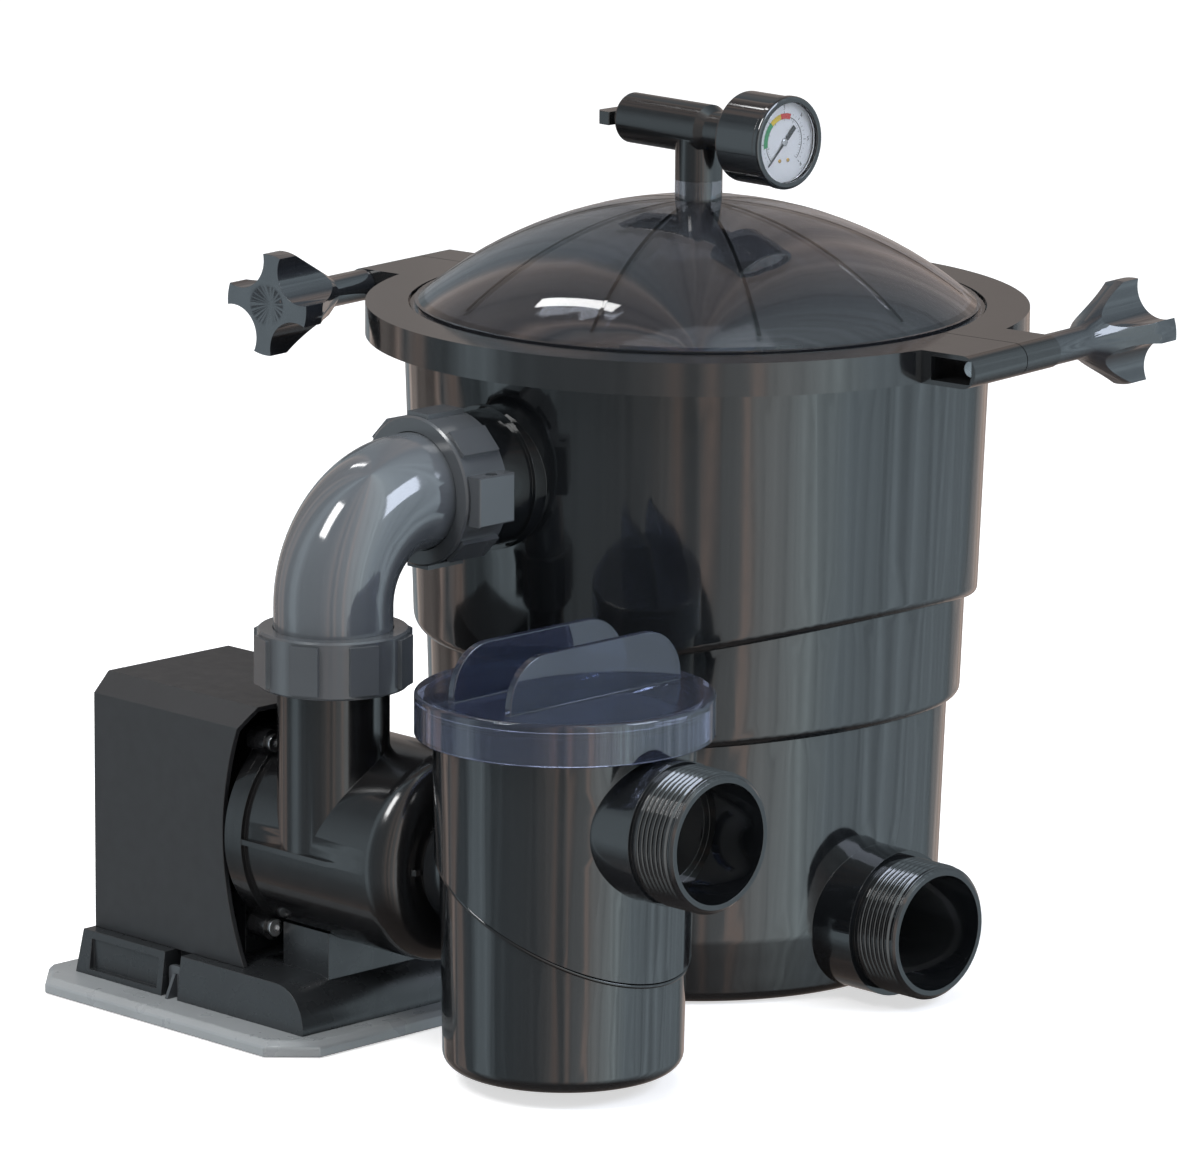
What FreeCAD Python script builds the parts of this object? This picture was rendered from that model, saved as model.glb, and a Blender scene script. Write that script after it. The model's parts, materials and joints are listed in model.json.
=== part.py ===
import FreeCAD, Part
import math
import os

import Sketcher

# Pool filtration unit: a cartridge filter tank with a domed clamp lid, joined by a
# union elbow to a strainer pump on its own base plate.
#
# Frame, in millimetres: the origin is on the tank's axis at the floor. X runs along
# the pump's shaft towards the suction port, Y from the pump towards the tank, Z up.

Vector = FreeCAD.Vector
Rotation = FreeCAD.Rotation
Placement = FreeCAD.Placement

document = FreeCAD.newDocument("PoolFiltrationUnit")
sheet = document.addObject("Spreadsheet::Sheet", "Sizes")


class Size:
    """A number together with the spreadsheet expression that gives it."""

    def __init__(self, number, words):
        self.number = float(number)
        self.words = words

    @staticmethod
    def of(value):
        return value if isinstance(value, Size) else Size(value, repr(float(value)))

    def joined(self, other, sign, number):
        return Size(number, f"({self.words} {sign} {Size.of(other).words})")

    def __add__(self, other):
        return self.joined(other, "+", self.number + Size.of(other).number)

    def __sub__(self, other):
        return self.joined(other, "-", self.number - Size.of(other).number)

    def __mul__(self, other):
        return self.joined(other, "*", self.number * Size.of(other).number)

    def __truediv__(self, other):
        return self.joined(other, "/", self.number / Size.of(other).number)

    def __radd__(self, other):
        return Size.of(other) + self

    def __rsub__(self, other):
        return Size.of(other) - self

    def __rmul__(self, other):
        return Size.of(other) * self

    def __neg__(self):
        return Size(-self.number, f"(0 - {self.words})")

    def __float__(self):
        return self.number


def cosine(angle):
    """Cosine of an angle in degrees."""
    angle = Size.of(angle)
    return Size(math.cos(math.radians(angle.number)), f"cos({angle.words} * 1deg)")


def sine(angle):
    """Sine of an angle in degrees."""
    angle = Size.of(angle)
    return Size(math.sin(math.radians(angle.number)), f"sin({angle.words} * 1deg)")


def root(value):
    """Square root."""
    return Size(math.sqrt(value.number), f"sqrt({value.words})")


row_count = 0


def cell(alias, number, meaning):
    """Writes one driving size into the sheet and returns it."""
    global row_count
    row_count += 1
    sheet.set(f"A{row_count}", meaning)
    sheet.set(f"B{row_count}", repr(float(number)))
    sheet.setAlias(f"B{row_count}", alias)
    return Size(number, f"Sizes.{alias}")


# Driving sizes of the tank
tank_top_radius = cell("tank_top_radius", 150.4, "tank wall radius under the clamp")
tank_wall = cell("tank_wall", 5.0, "tank wall thickness")
tank_draft = cell("tank_draft", 0.035, "radius lost per unit of depth")
tank_step = cell("tank_step", 6.4, "radius lost at each step line")
tank_floor = cell("tank_floor", 8.0, "tank floor thickness")
tank_foot_radius = cell("tank_foot_radius", 120.0, "radius of the face the tank stands on")
tank_taper_height = cell("tank_taper_height", 34.0, "height of the tapered bottom")
upper_step_low = cell("upper_step_low", 171.0, "lowest height of the upper step line")
upper_step_bow = cell("upper_step_bow", 620.0, "radius of the upper step's arc, seen from the front")
lower_step_low = cell("lower_step_low", 130.0, "lowest height of the lower step line")
lower_step_bow = cell("lower_step_bow", 1500.0, "radius of the lower step's arc, seen from the front")
step_low_side = cell("step_low_side", 42.0, "how far towards the motor the step lines are lowest")
step_round = cell("step_round", 5.6, "rounding under each step")
flange_radius = cell("flange_radius", 162.0, "radius of the tank and lid flanges")
flange_thick = cell("flange_thick", 4.0, "thickness of the tank and lid flanges")
rim_height = cell("rim_height", 331.2, "height of the tank's rim")

# Driving sizes of the lid, its seal and its clamp
lid_seal_thick = cell("lid_seal_thick", 3.0, "section of the lid's O-ring")
lid_seal_radius = cell("lid_seal_radius", 155.0, "radius of the lid's O-ring")
seal_groove_extra = cell("seal_groove_extra", 0.2, "groove width and depth beyond the O-ring's")
dome_foot_radius = cell("dome_foot_radius", 143.0, "radius at the foot of the dome")
dome_collar_radius = cell("dome_collar_radius", 147.2, "radius of the collar below the dome")
dome_rise = cell("dome_rise", 52.3, "height of the dome above its collar")
dome_wall = cell("dome_wall", 4.5, "wall of the dome")
collar_height = cell("collar_height", 5.8, "height of the collar above the flange")
rib_count = cell("rib_count", 10, "ribs under the dome")
rib_thick = cell("rib_thick", 2.6, "thickness of each dome rib")
rib_depth = cell("rib_depth", 7.0, "depth of each dome rib")
rib_turn = cell("rib_turn", -32.5, "direction of the first rib in degrees")
boss_radius = cell("boss_radius", 12.2, "radius of the boss on top of the dome")
boss_height = cell("boss_height", 10.0, "height of the boss above the dome")
stem_bore = cell("stem_bore", 7.0, "radius of the bore in the dome's boss")
clamp_radius = cell("clamp_radius", 170.2, "outer radius of the clamp ring")
clamp_height = cell("clamp_height", 16.8, "height of the clamp ring")
clamp_skin = cell("clamp_skin", 4.6, "wall of the clamp's skirt")
clamp_lip_radius = cell("clamp_lip_radius", 148.2, "inner radius of the clamp's top lip")
clamp_gap = cell("clamp_gap", 0.3, "clearance between the clamp and what it grips")
split_turn = cell("split_turn", 7.0, "direction of the split between the halves in degrees")
split_shift = cell("split_shift", 10.0, "distance of the split from the tank's axis")
split_gap = cell("split_gap", 0.6, "gap between the two halves")
clamp_bolt_reach = cell("clamp_bolt_reach", 190.0, "distance of the clamp bolts from the tank's axis")
ear_round = cell("ear_round", 9.4, "half thickness of the clamp's ears")
ear_open_end = cell("ear_open_end", 35.0, "distance of an ear's open end from the diameter")
ear_collar_end = cell("ear_collar_end", 39.0, "distance of an ear's collar end from the diameter")
ear_shell = cell("ear_shell", 2.4, "wall round the hollow in an ear")
bolt_radius = cell("bolt_radius", 4.2, "radius of the clamp bolts")
bolt_gap = cell("bolt_gap", 0.4, "clearance round the clamp bolts")
knob_sleeve_radius = cell("knob_sleeve_radius", 8.2, "radius of the knob's sleeve")
knob_sleeve_length = cell("knob_sleeve_length", 29.0, "length of the knob's sleeve")
knob_length = cell("knob_length", 77.6, "length of the knob")
knob_lobe_radius = cell("knob_lobe_radius", 26.6, "radius at the tips of the knob's wings")
knob_tip_length = cell("knob_tip_length", 13.0, "length of the flat tips of the wings")
knob_valley_radius = cell("knob_valley_radius", 15.8, "radius of the hollows between the wings")
knob_valley_reach = cell("knob_valley_reach", 29.2, "distance of the hollows from the knob's axis")
knob_dish_radius = cell("knob_dish_radius", 11.5, "radius of the dish in the knob's face")
knob_dish_depth = cell("knob_dish_depth", 3.4, "depth of the dish")

# Driving sizes of the tank's ports and of the filter inside
inlet_height = cell("inlet_height", 269.0, "height of the inlet's axis")
outlet_height = cell("outlet_height", 39.0, "height of the outlet's axis")
outlet_reach = cell("outlet_reach", 174.5, "distance of the outlet's face from the tank's axis")
port_root_radius = cell("port_root_radius", 33.4, "thread root radius of the two open ports")
port_bore_radius = cell("port_bore_radius", 29.6, "bore radius of the two open ports")
port_thread_length = cell("port_thread_length", 25.0, "threaded length of the two open ports")
port_collar_radius = cell("port_collar_radius", 37.4, "radius of the collar behind each thread")
port_bevel = cell("port_bevel", 1.2, "bevel at each port's mouth")
union_bore_radius = cell("union_bore_radius", 24.6, "bore radius through the union pipework")
stub_radius = cell("stub_radius", 34.4, "radius of the threaded union stubs")
stub_ring_radius = cell("stub_ring_radius", 36.6, "radius of the ring where the inlet stub meets the wall")
media_radius = cell("media_radius", 78.0, "outer radius of the filter cartridge")
media_core_radius = cell("media_core_radius", 30.0, "inner radius of the pleated media")
pleat_count = cell("pleat_count", 24, "pleats shown on the cartridge")
cartridge_bottom = cell("cartridge_bottom", 84.0, "height of the cartridge's lower face")
cartridge_height = cell("cartridge_height", 190.0, "height of the cartridge")
cap_thick = cell("cap_thick", 8.0, "thickness of the cartridge's end caps")
core_wall = cell("core_wall", 2.5, "wall of the perforated core")
part_gap = cell("part_gap", 0.3, "clearance between neighbouring parts")

# Driving sizes of the gauge group
tee_height = cell("tee_height", 429.4, "height of the tee's crossbar")
tee_radius = cell("tee_radius", 13.0, "radius of the tee's crossbar")
tee_left = cell("tee_left", 49.0, "reach of the crossbar towards the bleed plug")
tee_right = cell("tee_right", 8.0, "reach of the crossbar towards the gauge")
tee_stem_radius = cell("tee_stem_radius", 12.2, "radius of the tee's stem")
tee_bore = cell("tee_bore", 4.0, "bore through the tee")
tee_neck_radius = cell("tee_neck_radius", 10.0, "radius of the gauge's neck")
case_radius = cell("case_radius", 23.8, "radius of the gauge case")
case_back = cell("case_back", 33.0, "distance of the case's back from the tank's axis")
case_length = cell("case_length", 31.0, "length of the gauge case with its bezel")
case_wall = cell("case_wall", 2.0, "wall of the gauge case")
bezel_depth = cell("bezel_depth", 4.0, "depth of the bezel")
bezel_opening = cell("bezel_opening", 20.4, "radius of the bezel's opening")
dial_radius = cell("dial_radius", 20.9, "radius of the dial")
dial_thick = cell("dial_thick", 0.8, "thickness of the dial")
needle_length = cell("needle_length", 17.0, "length of the needle from its hub")
needle_thick = cell("needle_thick", 0.6, "thickness of the needle")
needle_rest = cell("needle_rest", -135.0, "direction of the needle at rest from upright, in degrees")
lens_thick = cell("lens_thick", 1.5, "thickness of the gauge's lens")
plug_radius = cell("plug_radius", 7.0, "radius of the bleed plug's shank")
plug_wing = cell("plug_wing", 12.5, "half width of the bleed plug's wings")
plug_wing_thick = cell("plug_wing_thick", 7.0, "thickness of the bleed plug's wings")
plug_wing_length = cell("plug_wing_length", 10.0, "length of the bleed plug's wings")

# Driving sizes of the elbow and its union nuts
elbow_radius = cell("elbow_radius", 29.7, "outer radius of the elbow")
elbow_bend = cell("elbow_bend", 50.0, "radius of the elbow's bend")
riser_reach = cell("riser_reach", 255.0, "distance of the riser from the tank's axis")
upper_nut_face = cell("upper_nut_face", 200.0, "distance of the upper nut's outer face")
lower_nut_face = cell("lower_nut_face", 208.6, "height of the lower nut's upper face")
nut_length = cell("nut_length", 29.0, "length of the union nuts")
nut_radius = cell("nut_radius", 37.8, "radius of the union nuts between their lobes")
nut_lobe = cell("nut_lobe", 2.6, "height of the nuts' lobes")
nut_lobe_count = cell("nut_lobe_count", 8, "lobes round a union nut")
nut_lobe_width = cell("nut_lobe_width", 15.0, "width of each lobe")
nut_shoulder = cell("nut_shoulder", 10.0, "length of the shoulder that holds the elbow's collar")
nut_gap = cell("nut_gap", 0.4, "clearance inside the union nuts")
lug_length = cell("lug_length", 25.0, "length of the nut's lug round its rim")
lug_reach = cell("lug_reach", 44.5, "radius at the outside of the nut's lug")
lug_hole = cell("lug_hole", 3.2, "radius of the hole through the lug")
collar_thick = cell("collar_thick", 5.0, "thickness of the elbow's union collars")
union_seal_thick = cell("union_seal_thick", 3.2, "section of the union O-rings")
union_seal_radius = cell("union_seal_radius", 28.6, "radius of the union O-rings")

# Driving sizes of the pump
pump_side = cell("pump_side", 228.0, "distance of the pump's shaft from the tank's axis")
pump_height = cell("pump_height", 97.0, "height of the pump's shaft")
volute_radius = cell("volute_radius", 53.0, "outer radius of the volute")
volute_back = cell("volute_back", -43.0, "place of the volute's flange along the shaft")
volute_shoulder = cell("volute_shoulder", 50.0, "place along the shaft where the volute starts to narrow")
volute_wall = cell("volute_wall", 4.5, "wall of the volute")
volute_flange = cell("volute_flange", 6.0, "thickness of the volute's flange")
volute_flange_radius = cell("volute_flange_radius", 55.5, "radius of the volute's flange")
riser_radius = cell("riser_radius", 28.0, "radius of the volute's riser")
rib_plate = cell("rib_plate", 2.8, "thickness of the rib round the volute")
rib_proud = cell("rib_proud", 2.2, "how far the rib stands off the volute")
eye_radius = cell("eye_radius", 22.0, "radius of the passage from the pot")
flange_bolt_across = cell("flange_bolt_across", 34.0, "flange bolts' distance from the shaft, sideways")
flange_bolt_up = cell("flange_bolt_up", 47.5, "flange bolts' distance from the shaft, upwards")
flange_bolt_radius = cell("flange_bolt_radius", 2.5, "radius of the flange bolts")
plate_thick = cell("plate_thick", 6.0, "thickness of the seal plate")
shaft_radius = cell("shaft_radius", 6.0, "radius of the motor shaft")
shaft_gap = cell("shaft_gap", 0.08, "running clearance round the shaft")
impeller_radius = cell("impeller_radius", 40.0, "radius of the impeller")
impeller_disc = cell("impeller_disc", 3.0, "thickness of the impeller's disc")
vane_height = cell("vane_height", 9.0, "height of the impeller's vanes")
vane_count = cell("vane_count", 6, "vanes on the impeller")
motor_radius = cell("motor_radius", 44.0, "radius of the motor's housing")
motor_wall = cell("motor_wall", 4.0, "wall of the motor's housing")
motor_length = cell("motor_length", 90.0, "length of the motor's housing")
stator_radius = cell("stator_radius", 25.0, "inner radius of the stator")
rotor_gap = cell("rotor_gap", 0.6, "air gap between stator and rotor")
bearing_radius = cell("bearing_radius", 15.0, "outer radius of the bearings")
bearing_width = cell("bearing_width", 8.0, "width of the bearings")
fan_radius = cell("fan_radius", 34.0, "radius of the cooling fan")
cover_left = cell("cover_left", -152.0, "place of the motor cover's closed end")
cover_length = cell("cover_length", 112.0, "length of the motor cover")
cover_half_width = cell("cover_half_width", 51.0, "half width of the motor cover")
cover_top = cell("cover_top", 163.0, "height of the motor cover's top")
cover_wall = cell("cover_wall", 3.0, "wall of the motor cover")
cover_bevel = cell("cover_bevel", 10.0, "bevel along the motor cover's top edges")
cover_bow = cell("cover_bow", 150.0, "radius of the arc in the cover's open edge")

# Driving sizes of the strainer pot
pot_centre = cell("pot_centre", 135.5, "place of the pot's axis along the shaft")
pot_bottom = cell("pot_bottom", 7.8, "height of the pot's bottom")
pot_low_radius = cell("pot_low_radius", 59.0, "radius at the pot's bottom")
pot_top_radius = cell("pot_top_radius", 64.4, "radius of the pot under its lid")
pot_step = cell("pot_step", 2.4, "radius lost at the pot's step line")
pot_wall = cell("pot_wall", 4.0, "wall of the pot")
pot_rim_height = cell("pot_rim_height", 187.0, "height of the pot's rim")
pot_rim_radius = cell("pot_rim_radius", 68.0, "radius of the pot's threaded rim")
pot_rim_drop = cell("pot_rim_drop", 14.0, "height of the pot's threaded rim")
pot_round = cell("pot_round", 8.0, "rounding of the pot's bottom edge")
pot_slope_turn = cell("pot_slope_turn", 12.0, "turn of the pot's step line in degrees")
pot_slope_mid = cell("pot_slope_mid", 90.0, "height of the pot's step line at its axis")
pot_slope_rise = cell("pot_slope_rise", 31.0, "rise of the pot's step line over one radius")
suction_height = cell("suction_height", 138.0, "height of the suction port's axis")
suction_reach = cell("suction_reach", 105.7, "distance of the suction port's face from the pot's axis")
basket_radius = cell("basket_radius", 50.0, "radius of the strainer basket")
basket_wall = cell("basket_wall", 2.4, "wall of the strainer basket")
basket_bottom = cell("basket_bottom", 24.0, "height of the strainer basket's floor")
basket_slot_count = cell("basket_slot_count", 12, "rows of slots round the basket")
basket_slot_width = cell("basket_slot_width", 6.0, "width of the basket's slots")
pot_lid_radius = cell("pot_lid_radius", 73.3, "radius of the pot's lid")
pot_lid_top = cell("pot_lid_top", 195.2, "height of the pot lid's top")
pot_lid_skirt = cell("pot_lid_skirt", 21.0, "height of the pot lid's skirt")
pot_seal_thick = cell("pot_seal_thick", 3.0, "section of the pot lid's O-ring")
fin_length = cell("fin_length", 116.0, "length of the lid's two grip fins")
fin_height = cell("fin_height", 27.0, "height of the grip fins")
fin_round = cell("fin_round", 24.0, "rounding at the ends of the fins")
fin_spread = cell("fin_spread", 19.5, "distance of each fin from the lid's middle")
fin_thick = cell("fin_thick", 4.0, "thickness of the fins")

# Driving sizes of the base
base_left = cell("base_left", -177.0, "place of the base plate's motor end")
base_right = cell("base_right", 27.0, "place of the base plate's pump end")
base_half_width = cell("base_half_width", 81.0, "half width of the base plate")
base_thick = cell("base_thick", 8.0, "thickness of the base plate")
base_corner = cell("base_corner", 20.0, "cut of the base plate's corners")
base_bevel = cell("base_bevel", 3.0, "bevel round the base plate's top")
foot_left = cell("foot_left", -156.0, "place of the foot's motor end")
foot_right = cell("foot_right", 14.0, "place of the foot's pump end")
foot_half_width = cell("foot_half_width", 61.0, "half width of the foot")
foot_top = cell("foot_top", 30.6, "height of the foot's top under the motor cover")
foot_slot_left = cell("foot_slot_left", -91.0, "start of the slot for the clip")
foot_slot_width = cell("foot_slot_width", 12.0, "width of the slot for the clip")
foot_slot_depth = cell("foot_slot_depth", 14.0, "depth of the slot for the clip")
foot_batter = cell("foot_batter", 3.0, "how far the foot's sides lean in")
clip_width = cell("clip_width", 10.0, "width of the base clip")
clip_height = cell("clip_height", 16.0, "height of the base clip")


class Frame:
    """The three origin planes and axes of one body, found by their roles."""

    def __init__(self, body):
        self.parts = {item.Role: item for item in body.Origin.OriginFeatures}

    def plane(self, role):
        return self.parts[role]


def new_body(label, spot=None):
    """Starts a body with its own label and placement."""
    body = document.addObject("PartDesign::Body", label)
    body.Label = label
    if spot is not None:
        body.Placement = spot
    return body


def new_sketch(body, role, offset=None, turn=None):
    """Attaches a sketch to one of the body's origin planes.

    offset is its distance along the plane's normal, turn its rotation in degrees
    about the sketch's own upright axis.
    """
    sketch = body.newObject("Sketcher::SketchObject", f"{body.Label}_sketch")
    sketch.AttachmentSupport = [(Frame(body).plane(role), "")]
    sketch.MapMode = "FlatFace"
    if turn is not None:
        turn = Size.of(turn)
        sketch.AttachmentOffset = Placement(Vector(), Rotation(Vector(0, 1, 0), turn.number))
        sketch.setExpression("AttachmentOffset.Rotation.Angle", turn.words)
    if offset is not None:
        offset = Size.of(offset)
        place = sketch.AttachmentOffset
        place.Base = Vector(0, 0, offset.number)
        sketch.AttachmentOffset = place
        sketch.setExpression(".AttachmentOffset.Base.z", offset.words)
    return sketch


def pin(sketch, geometry, point, place):
    """Fixes one point of a sketch at two sizes measured from the sketch's origin."""
    for kind, axis, value in (("DistanceX", -2, place[0]), ("DistanceY", -1, place[1])):
        if isinstance(value, Size) and value.words != "0.0":
            index = sketch.addConstraint(
                Sketcher.Constraint(kind, -1, 1, geometry, point, value.number))
            sketch.setExpression(f"Constraints[{index}]", value.words)
        elif float(value) == 0.0:
            sketch.addConstraint(Sketcher.Constraint("PointOnObject", geometry, point, axis))
        else:
            sketch.addConstraint(Sketcher.Constraint(kind, -1, 1, geometry, point, float(value)))


def arc_between(start, end, radius, turning):
    """Circle arc from start to end; turning is 1 anticlockwise and -1 clockwise."""
    middle = (start + end) * 0.5
    chord = end - start
    rise = math.sqrt(max(float(radius) ** 2 - (chord.Length / 2) ** 2, 0.0))
    normal = Vector(-chord.y, chord.x, 0).normalize()
    centre = middle + normal * (rise * turning)
    first, last = (start, end) if turning > 0 else (end, start)
    angles = [math.atan2(point.y - centre.y, point.x - centre.x) for point in (first, last)]
    return Part.ArcOfCircle(Part.Circle(centre, Vector(0, 0, 1), float(radius)), *angles)


def outline(sketch, corners):
    """Draws a closed outline whose corners are bound to sizes.

    A corner is (x, y), or (x, y, radius, turning) where the side that leaves it is an
    arc of that radius.
    """
    first = sketch.GeometryCount
    spots = [Vector(float(corner[0]), float(corner[1]), 0) for corner in corners]
    starts = []
    ends = []
    for index, corner in enumerate(corners):
        here = spots[index]
        there = spots[(index + 1) % len(corners)]
        if len(corner) == 4:
            sketch.addGeometry(arc_between(here, there, corner[2], corner[3]))
            starts.append(1 if corner[3] > 0 else 2)
            ends.append(2 if corner[3] > 0 else 1)
        else:
            sketch.addGeometry(Part.LineSegment(here, there))
            starts.append(1)
            ends.append(2)
    for index, corner in enumerate(corners):
        after = (index + 1) % len(corners)
        sketch.addConstraint(Sketcher.Constraint(
            "Coincident", first + index, ends[index], first + after, starts[after]))
    for index, corner in enumerate(corners):
        pin(sketch, first + index, starts[index], corner)
        if len(corner) == 4:
            radius = Size.of(corner[2])
            place = sketch.addConstraint(
                Sketcher.Constraint("Radius", first + index, radius.number))
            sketch.setExpression(f"Constraints[{place}]", radius.words)


def circle(sketch, x, y, radius):
    """Draws a circle whose centre and radius are bound to sizes."""
    radius = Size.of(radius)
    index = sketch.addGeometry(Part.Circle(
        Vector(float(x), float(y), 0), Vector(0, 0, 1), radius.number))
    pin(sketch, index, 3, (x, y))
    place = sketch.addConstraint(Sketcher.Constraint("Radius", index, radius.number))
    sketch.setExpression(f"Constraints[{place}]", radius.words)


def turned(body, corners, kind="Revolution", axis="V_Axis", role="XZ_Plane"):
    """Turns an outline about an axis of its sketch, as a solid or as a groove."""
    sketch = new_sketch(body, role)
    outline(sketch, corners)
    feature = body.newObject(f"PartDesign::{kind}", f"{body.Label}_{kind}")
    feature.Profile = sketch
    feature.ReferenceAxis = (sketch, [axis])
    feature.Angle = 360.0
    sketch.Visibility = False
    return feature


def drawn(body, sketch, length=None, kind="Pad", midplane=False, backwards=False):
    """Pads or pockets a sketch by a bound length, or cuts through all without one."""
    feature = body.newObject(f"PartDesign::{kind}", f"{body.Label}_{kind}")
    feature.Profile = sketch
    if length is None:
        feature.Type = "ThroughAll"
    else:
        length = Size.of(length)
        feature.Length = length.number
        feature.setExpression("Length", length.words)
    feature.Midplane = midplane
    feature.Reversed = backwards
    sketch.Visibility = False
    return feature


def patterned(body, features, count, role="Z_Axis"):
    """Repeats features round an axis of the body."""
    pattern = body.newObject("PartDesign::PolarPattern", f"{body.Label}_PolarPattern")
    pattern.Originals = features
    pattern.Axis = (Frame(body).plane(role), [""])
    pattern.Angle = 360.0
    count = Size.of(count)
    pattern.Occurrences = int(count.number)
    pattern.setExpression("Occurrences", count.words)
    body.Tip = pattern
    return pattern


def rounded(body, radius, chosen, kind="Fillet"):
    """Rounds or bevels the edges of the body's latest feature that chosen accepts."""
    document.recompute()
    base = body.Tip
    names = [f"Edge{index + 1}" for index, edge in enumerate(base.Shape.Edges) if chosen(edge)]
    if not names:
        raise RuntimeError(f"{body.Label}: no edge to round")
    radius = Size.of(radius)
    feature = body.newObject(f"PartDesign::{kind}", f"{body.Label}_{kind}")
    feature.Base = (base, names)
    value = "Radius" if kind == "Fillet" else "Size"
    setattr(feature, value, radius.number)
    feature.setExpression(value, radius.words)
    return feature


def at_height(low, high):
    """Chooses edges that lie wholly between two heights of the body's own frame."""
    def chosen(edge):
        box = edge.BoundBox
        return box.ZMin > float(low) - 0.01 and box.ZMax < float(high) + 0.01
    return chosen


# Heights that several parts share
flange_bottom = rim_height - flange_thick
lid_flange_top = rim_height + flange_thick
clamp_top = lid_flange_top + clamp_gap + clamp_skin - 0.1
clamp_bottom = clamp_top - clamp_height
clamp_middle = clamp_top - clamp_height / 2
collar_top = lid_flange_top + collar_height
dome_top = collar_top + dome_rise
dome_sphere = (dome_foot_radius * dome_foot_radius + dome_rise * dome_rise) / (dome_rise * 2)
dome_inner_sphere = dome_sphere - dome_wall


def wall_radius(height, steps):
    """Outer radius of the tank's wall at a height, after a number of steps."""
    return tank_top_radius - tank_draft * (flange_bottom - height) - tank_step * steps


def add_tier(body, steps, low, high):
    """Adds one drafted tier of the wall."""
    turned(body, [(0, low), (wall_radius(low, steps), low),
                  (wall_radius(high, steps), high), (0, high)])


def cut_under_arc(body, lowest, bow):
    """Cuts everything below an arc that is lowest towards the motor side."""
    reach = tank_top_radius + 20
    near = reach + step_low_side
    far = reach - step_low_side
    right = lowest + bow - root(bow * bow - near * near)
    left = lowest + bow - root(bow * bow - far * far)
    sketch = new_sketch(body, "XZ_Plane")
    outline(sketch, [(-reach, 20), (reach, 20), (reach, right, bow, -1), (-reach, left)])
    drawn(body, sketch, kind="Pocket", midplane=True)
    rounded(body, step_round, at_height(lowest - 5, right + 5))


# Tank shell
tank = new_body("tank_shell")
add_tier(tank, 0, upper_step_low - 14, flange_bottom)
cut_under_arc(tank, upper_step_low, upper_step_bow)
add_tier(tank, 1, lower_step_low - 14, upper_step_low + 60)
cut_under_arc(tank, lower_step_low, lower_step_bow)
turned(tank, [
    (0, 0), (tank_foot_radius, 0), (wall_radius(tank_taper_height, 2), tank_taper_height),
    (wall_radius(upper_step_low, 2), upper_step_low), (0, upper_step_low)])
rounded(tank, tank_floor, at_height(-0.1, 0.1))
rounded(tank, tank_taper_height / 2, at_height(tank_taper_height - 0.1, tank_taper_height + 0.1))
turned(tank, [(0, flange_bottom), (flange_radius, flange_bottom),
              (flange_radius, rim_height), (0, rim_height)])

inlet_face = upper_nut_face - nut_shoulder - collar_thick - nut_gap
inner_reach = tank_foot_radius - 10
inlet_sketch = new_sketch(tank, "XZ_Plane", inner_reach)
circle(inlet_sketch, 0, inlet_height, stub_radius)
drawn(tank, inlet_sketch, inlet_face - inner_reach)
ring_sketch = new_sketch(tank, "XZ_Plane", inner_reach)
circle(ring_sketch, 0, inlet_height, stub_ring_radius)
drawn(tank, ring_sketch, tank_top_radius - inner_reach + 1)

outlet_sketch = new_sketch(tank, "YZ_Plane", inner_reach)
circle(outlet_sketch, 0, outlet_height, port_root_radius)
drawn(tank, outlet_sketch, outlet_reach - inner_reach)
rounded(tank, port_bevel, lambda edge: edge.BoundBox.XMin > float(outlet_reach) - 0.1, "Chamfer")
collar_sketch = new_sketch(tank, "YZ_Plane", inner_reach)
circle(collar_sketch, 0, outlet_height, port_collar_radius)
drawn(tank, collar_sketch, outlet_reach - port_thread_length - inner_reach - 2)

# The hollow follows the outer wall, one wall's thickness inside it
lower_turn = lower_step_low + 18
upper_turn = upper_step_low + 38
turned(tank, [
    (0, tank_floor), (tank_foot_radius - tank_wall, tank_floor),
    (wall_radius(tank_taper_height, 2) - tank_wall, tank_taper_height),
    (wall_radius(lower_turn, 2) - tank_wall, lower_turn),
    (wall_radius(lower_turn + tank_step, 1) - tank_wall, lower_turn + tank_step),
    (wall_radius(upper_turn, 1) - tank_wall, upper_turn),
    (wall_radius(upper_turn + tank_step, 0) - tank_wall, upper_turn + tank_step),
    (wall_radius(rim_height, 0) - tank_wall, rim_height), (0, rim_height)], "Groove")
inlet_bore = new_sketch(tank, "XZ_Plane", inner_reach)
circle(inlet_bore, 0, inlet_height, union_bore_radius)
drawn(tank, inlet_bore, inlet_face - inner_reach + 1, "Pocket", backwards=True)
outlet_bore = new_sketch(tank, "YZ_Plane", inner_reach - 10)
circle(outlet_bore, 0, outlet_height, port_bore_radius)
drawn(tank, outlet_bore, outlet_reach - inner_reach + 11, "Pocket", backwards=True)
seal_half = union_seal_thick / 2 + seal_groove_extra
inlet_groove = new_sketch(tank, "XZ_Plane", inlet_face)
circle(inlet_groove, 0, inlet_height, union_seal_radius - seal_half)
circle(inlet_groove, 0, inlet_height, union_seal_radius + seal_half)
drawn(tank, inlet_groove, union_seal_thick + seal_groove_extra, "Pocket")
groove_half = lid_seal_thick / 2 + seal_groove_extra
turned(tank, [
    (lid_seal_radius - groove_half, rim_height - lid_seal_thick - seal_groove_extra),
    (lid_seal_radius + groove_half, rim_height - lid_seal_thick - seal_groove_extra),
    (lid_seal_radius + groove_half, rim_height + 1),
    (lid_seal_radius - groove_half, rim_height + 1)], "Groove")


def ring_seal(label, radius, section, spot):
    """O-ring lying in the plane across its own Z axis, with its lowest point at zero."""
    body = new_body(label, spot)
    sketch = new_sketch(body, "XZ_Plane")
    circle(sketch, radius, section / 2, section / 2)
    feature = body.newObject("PartDesign::Revolution", f"{label}_ring")
    feature.Profile = sketch
    feature.ReferenceAxis = (sketch, ["V_Axis"])
    feature.Angle = 360.0
    return body


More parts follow.
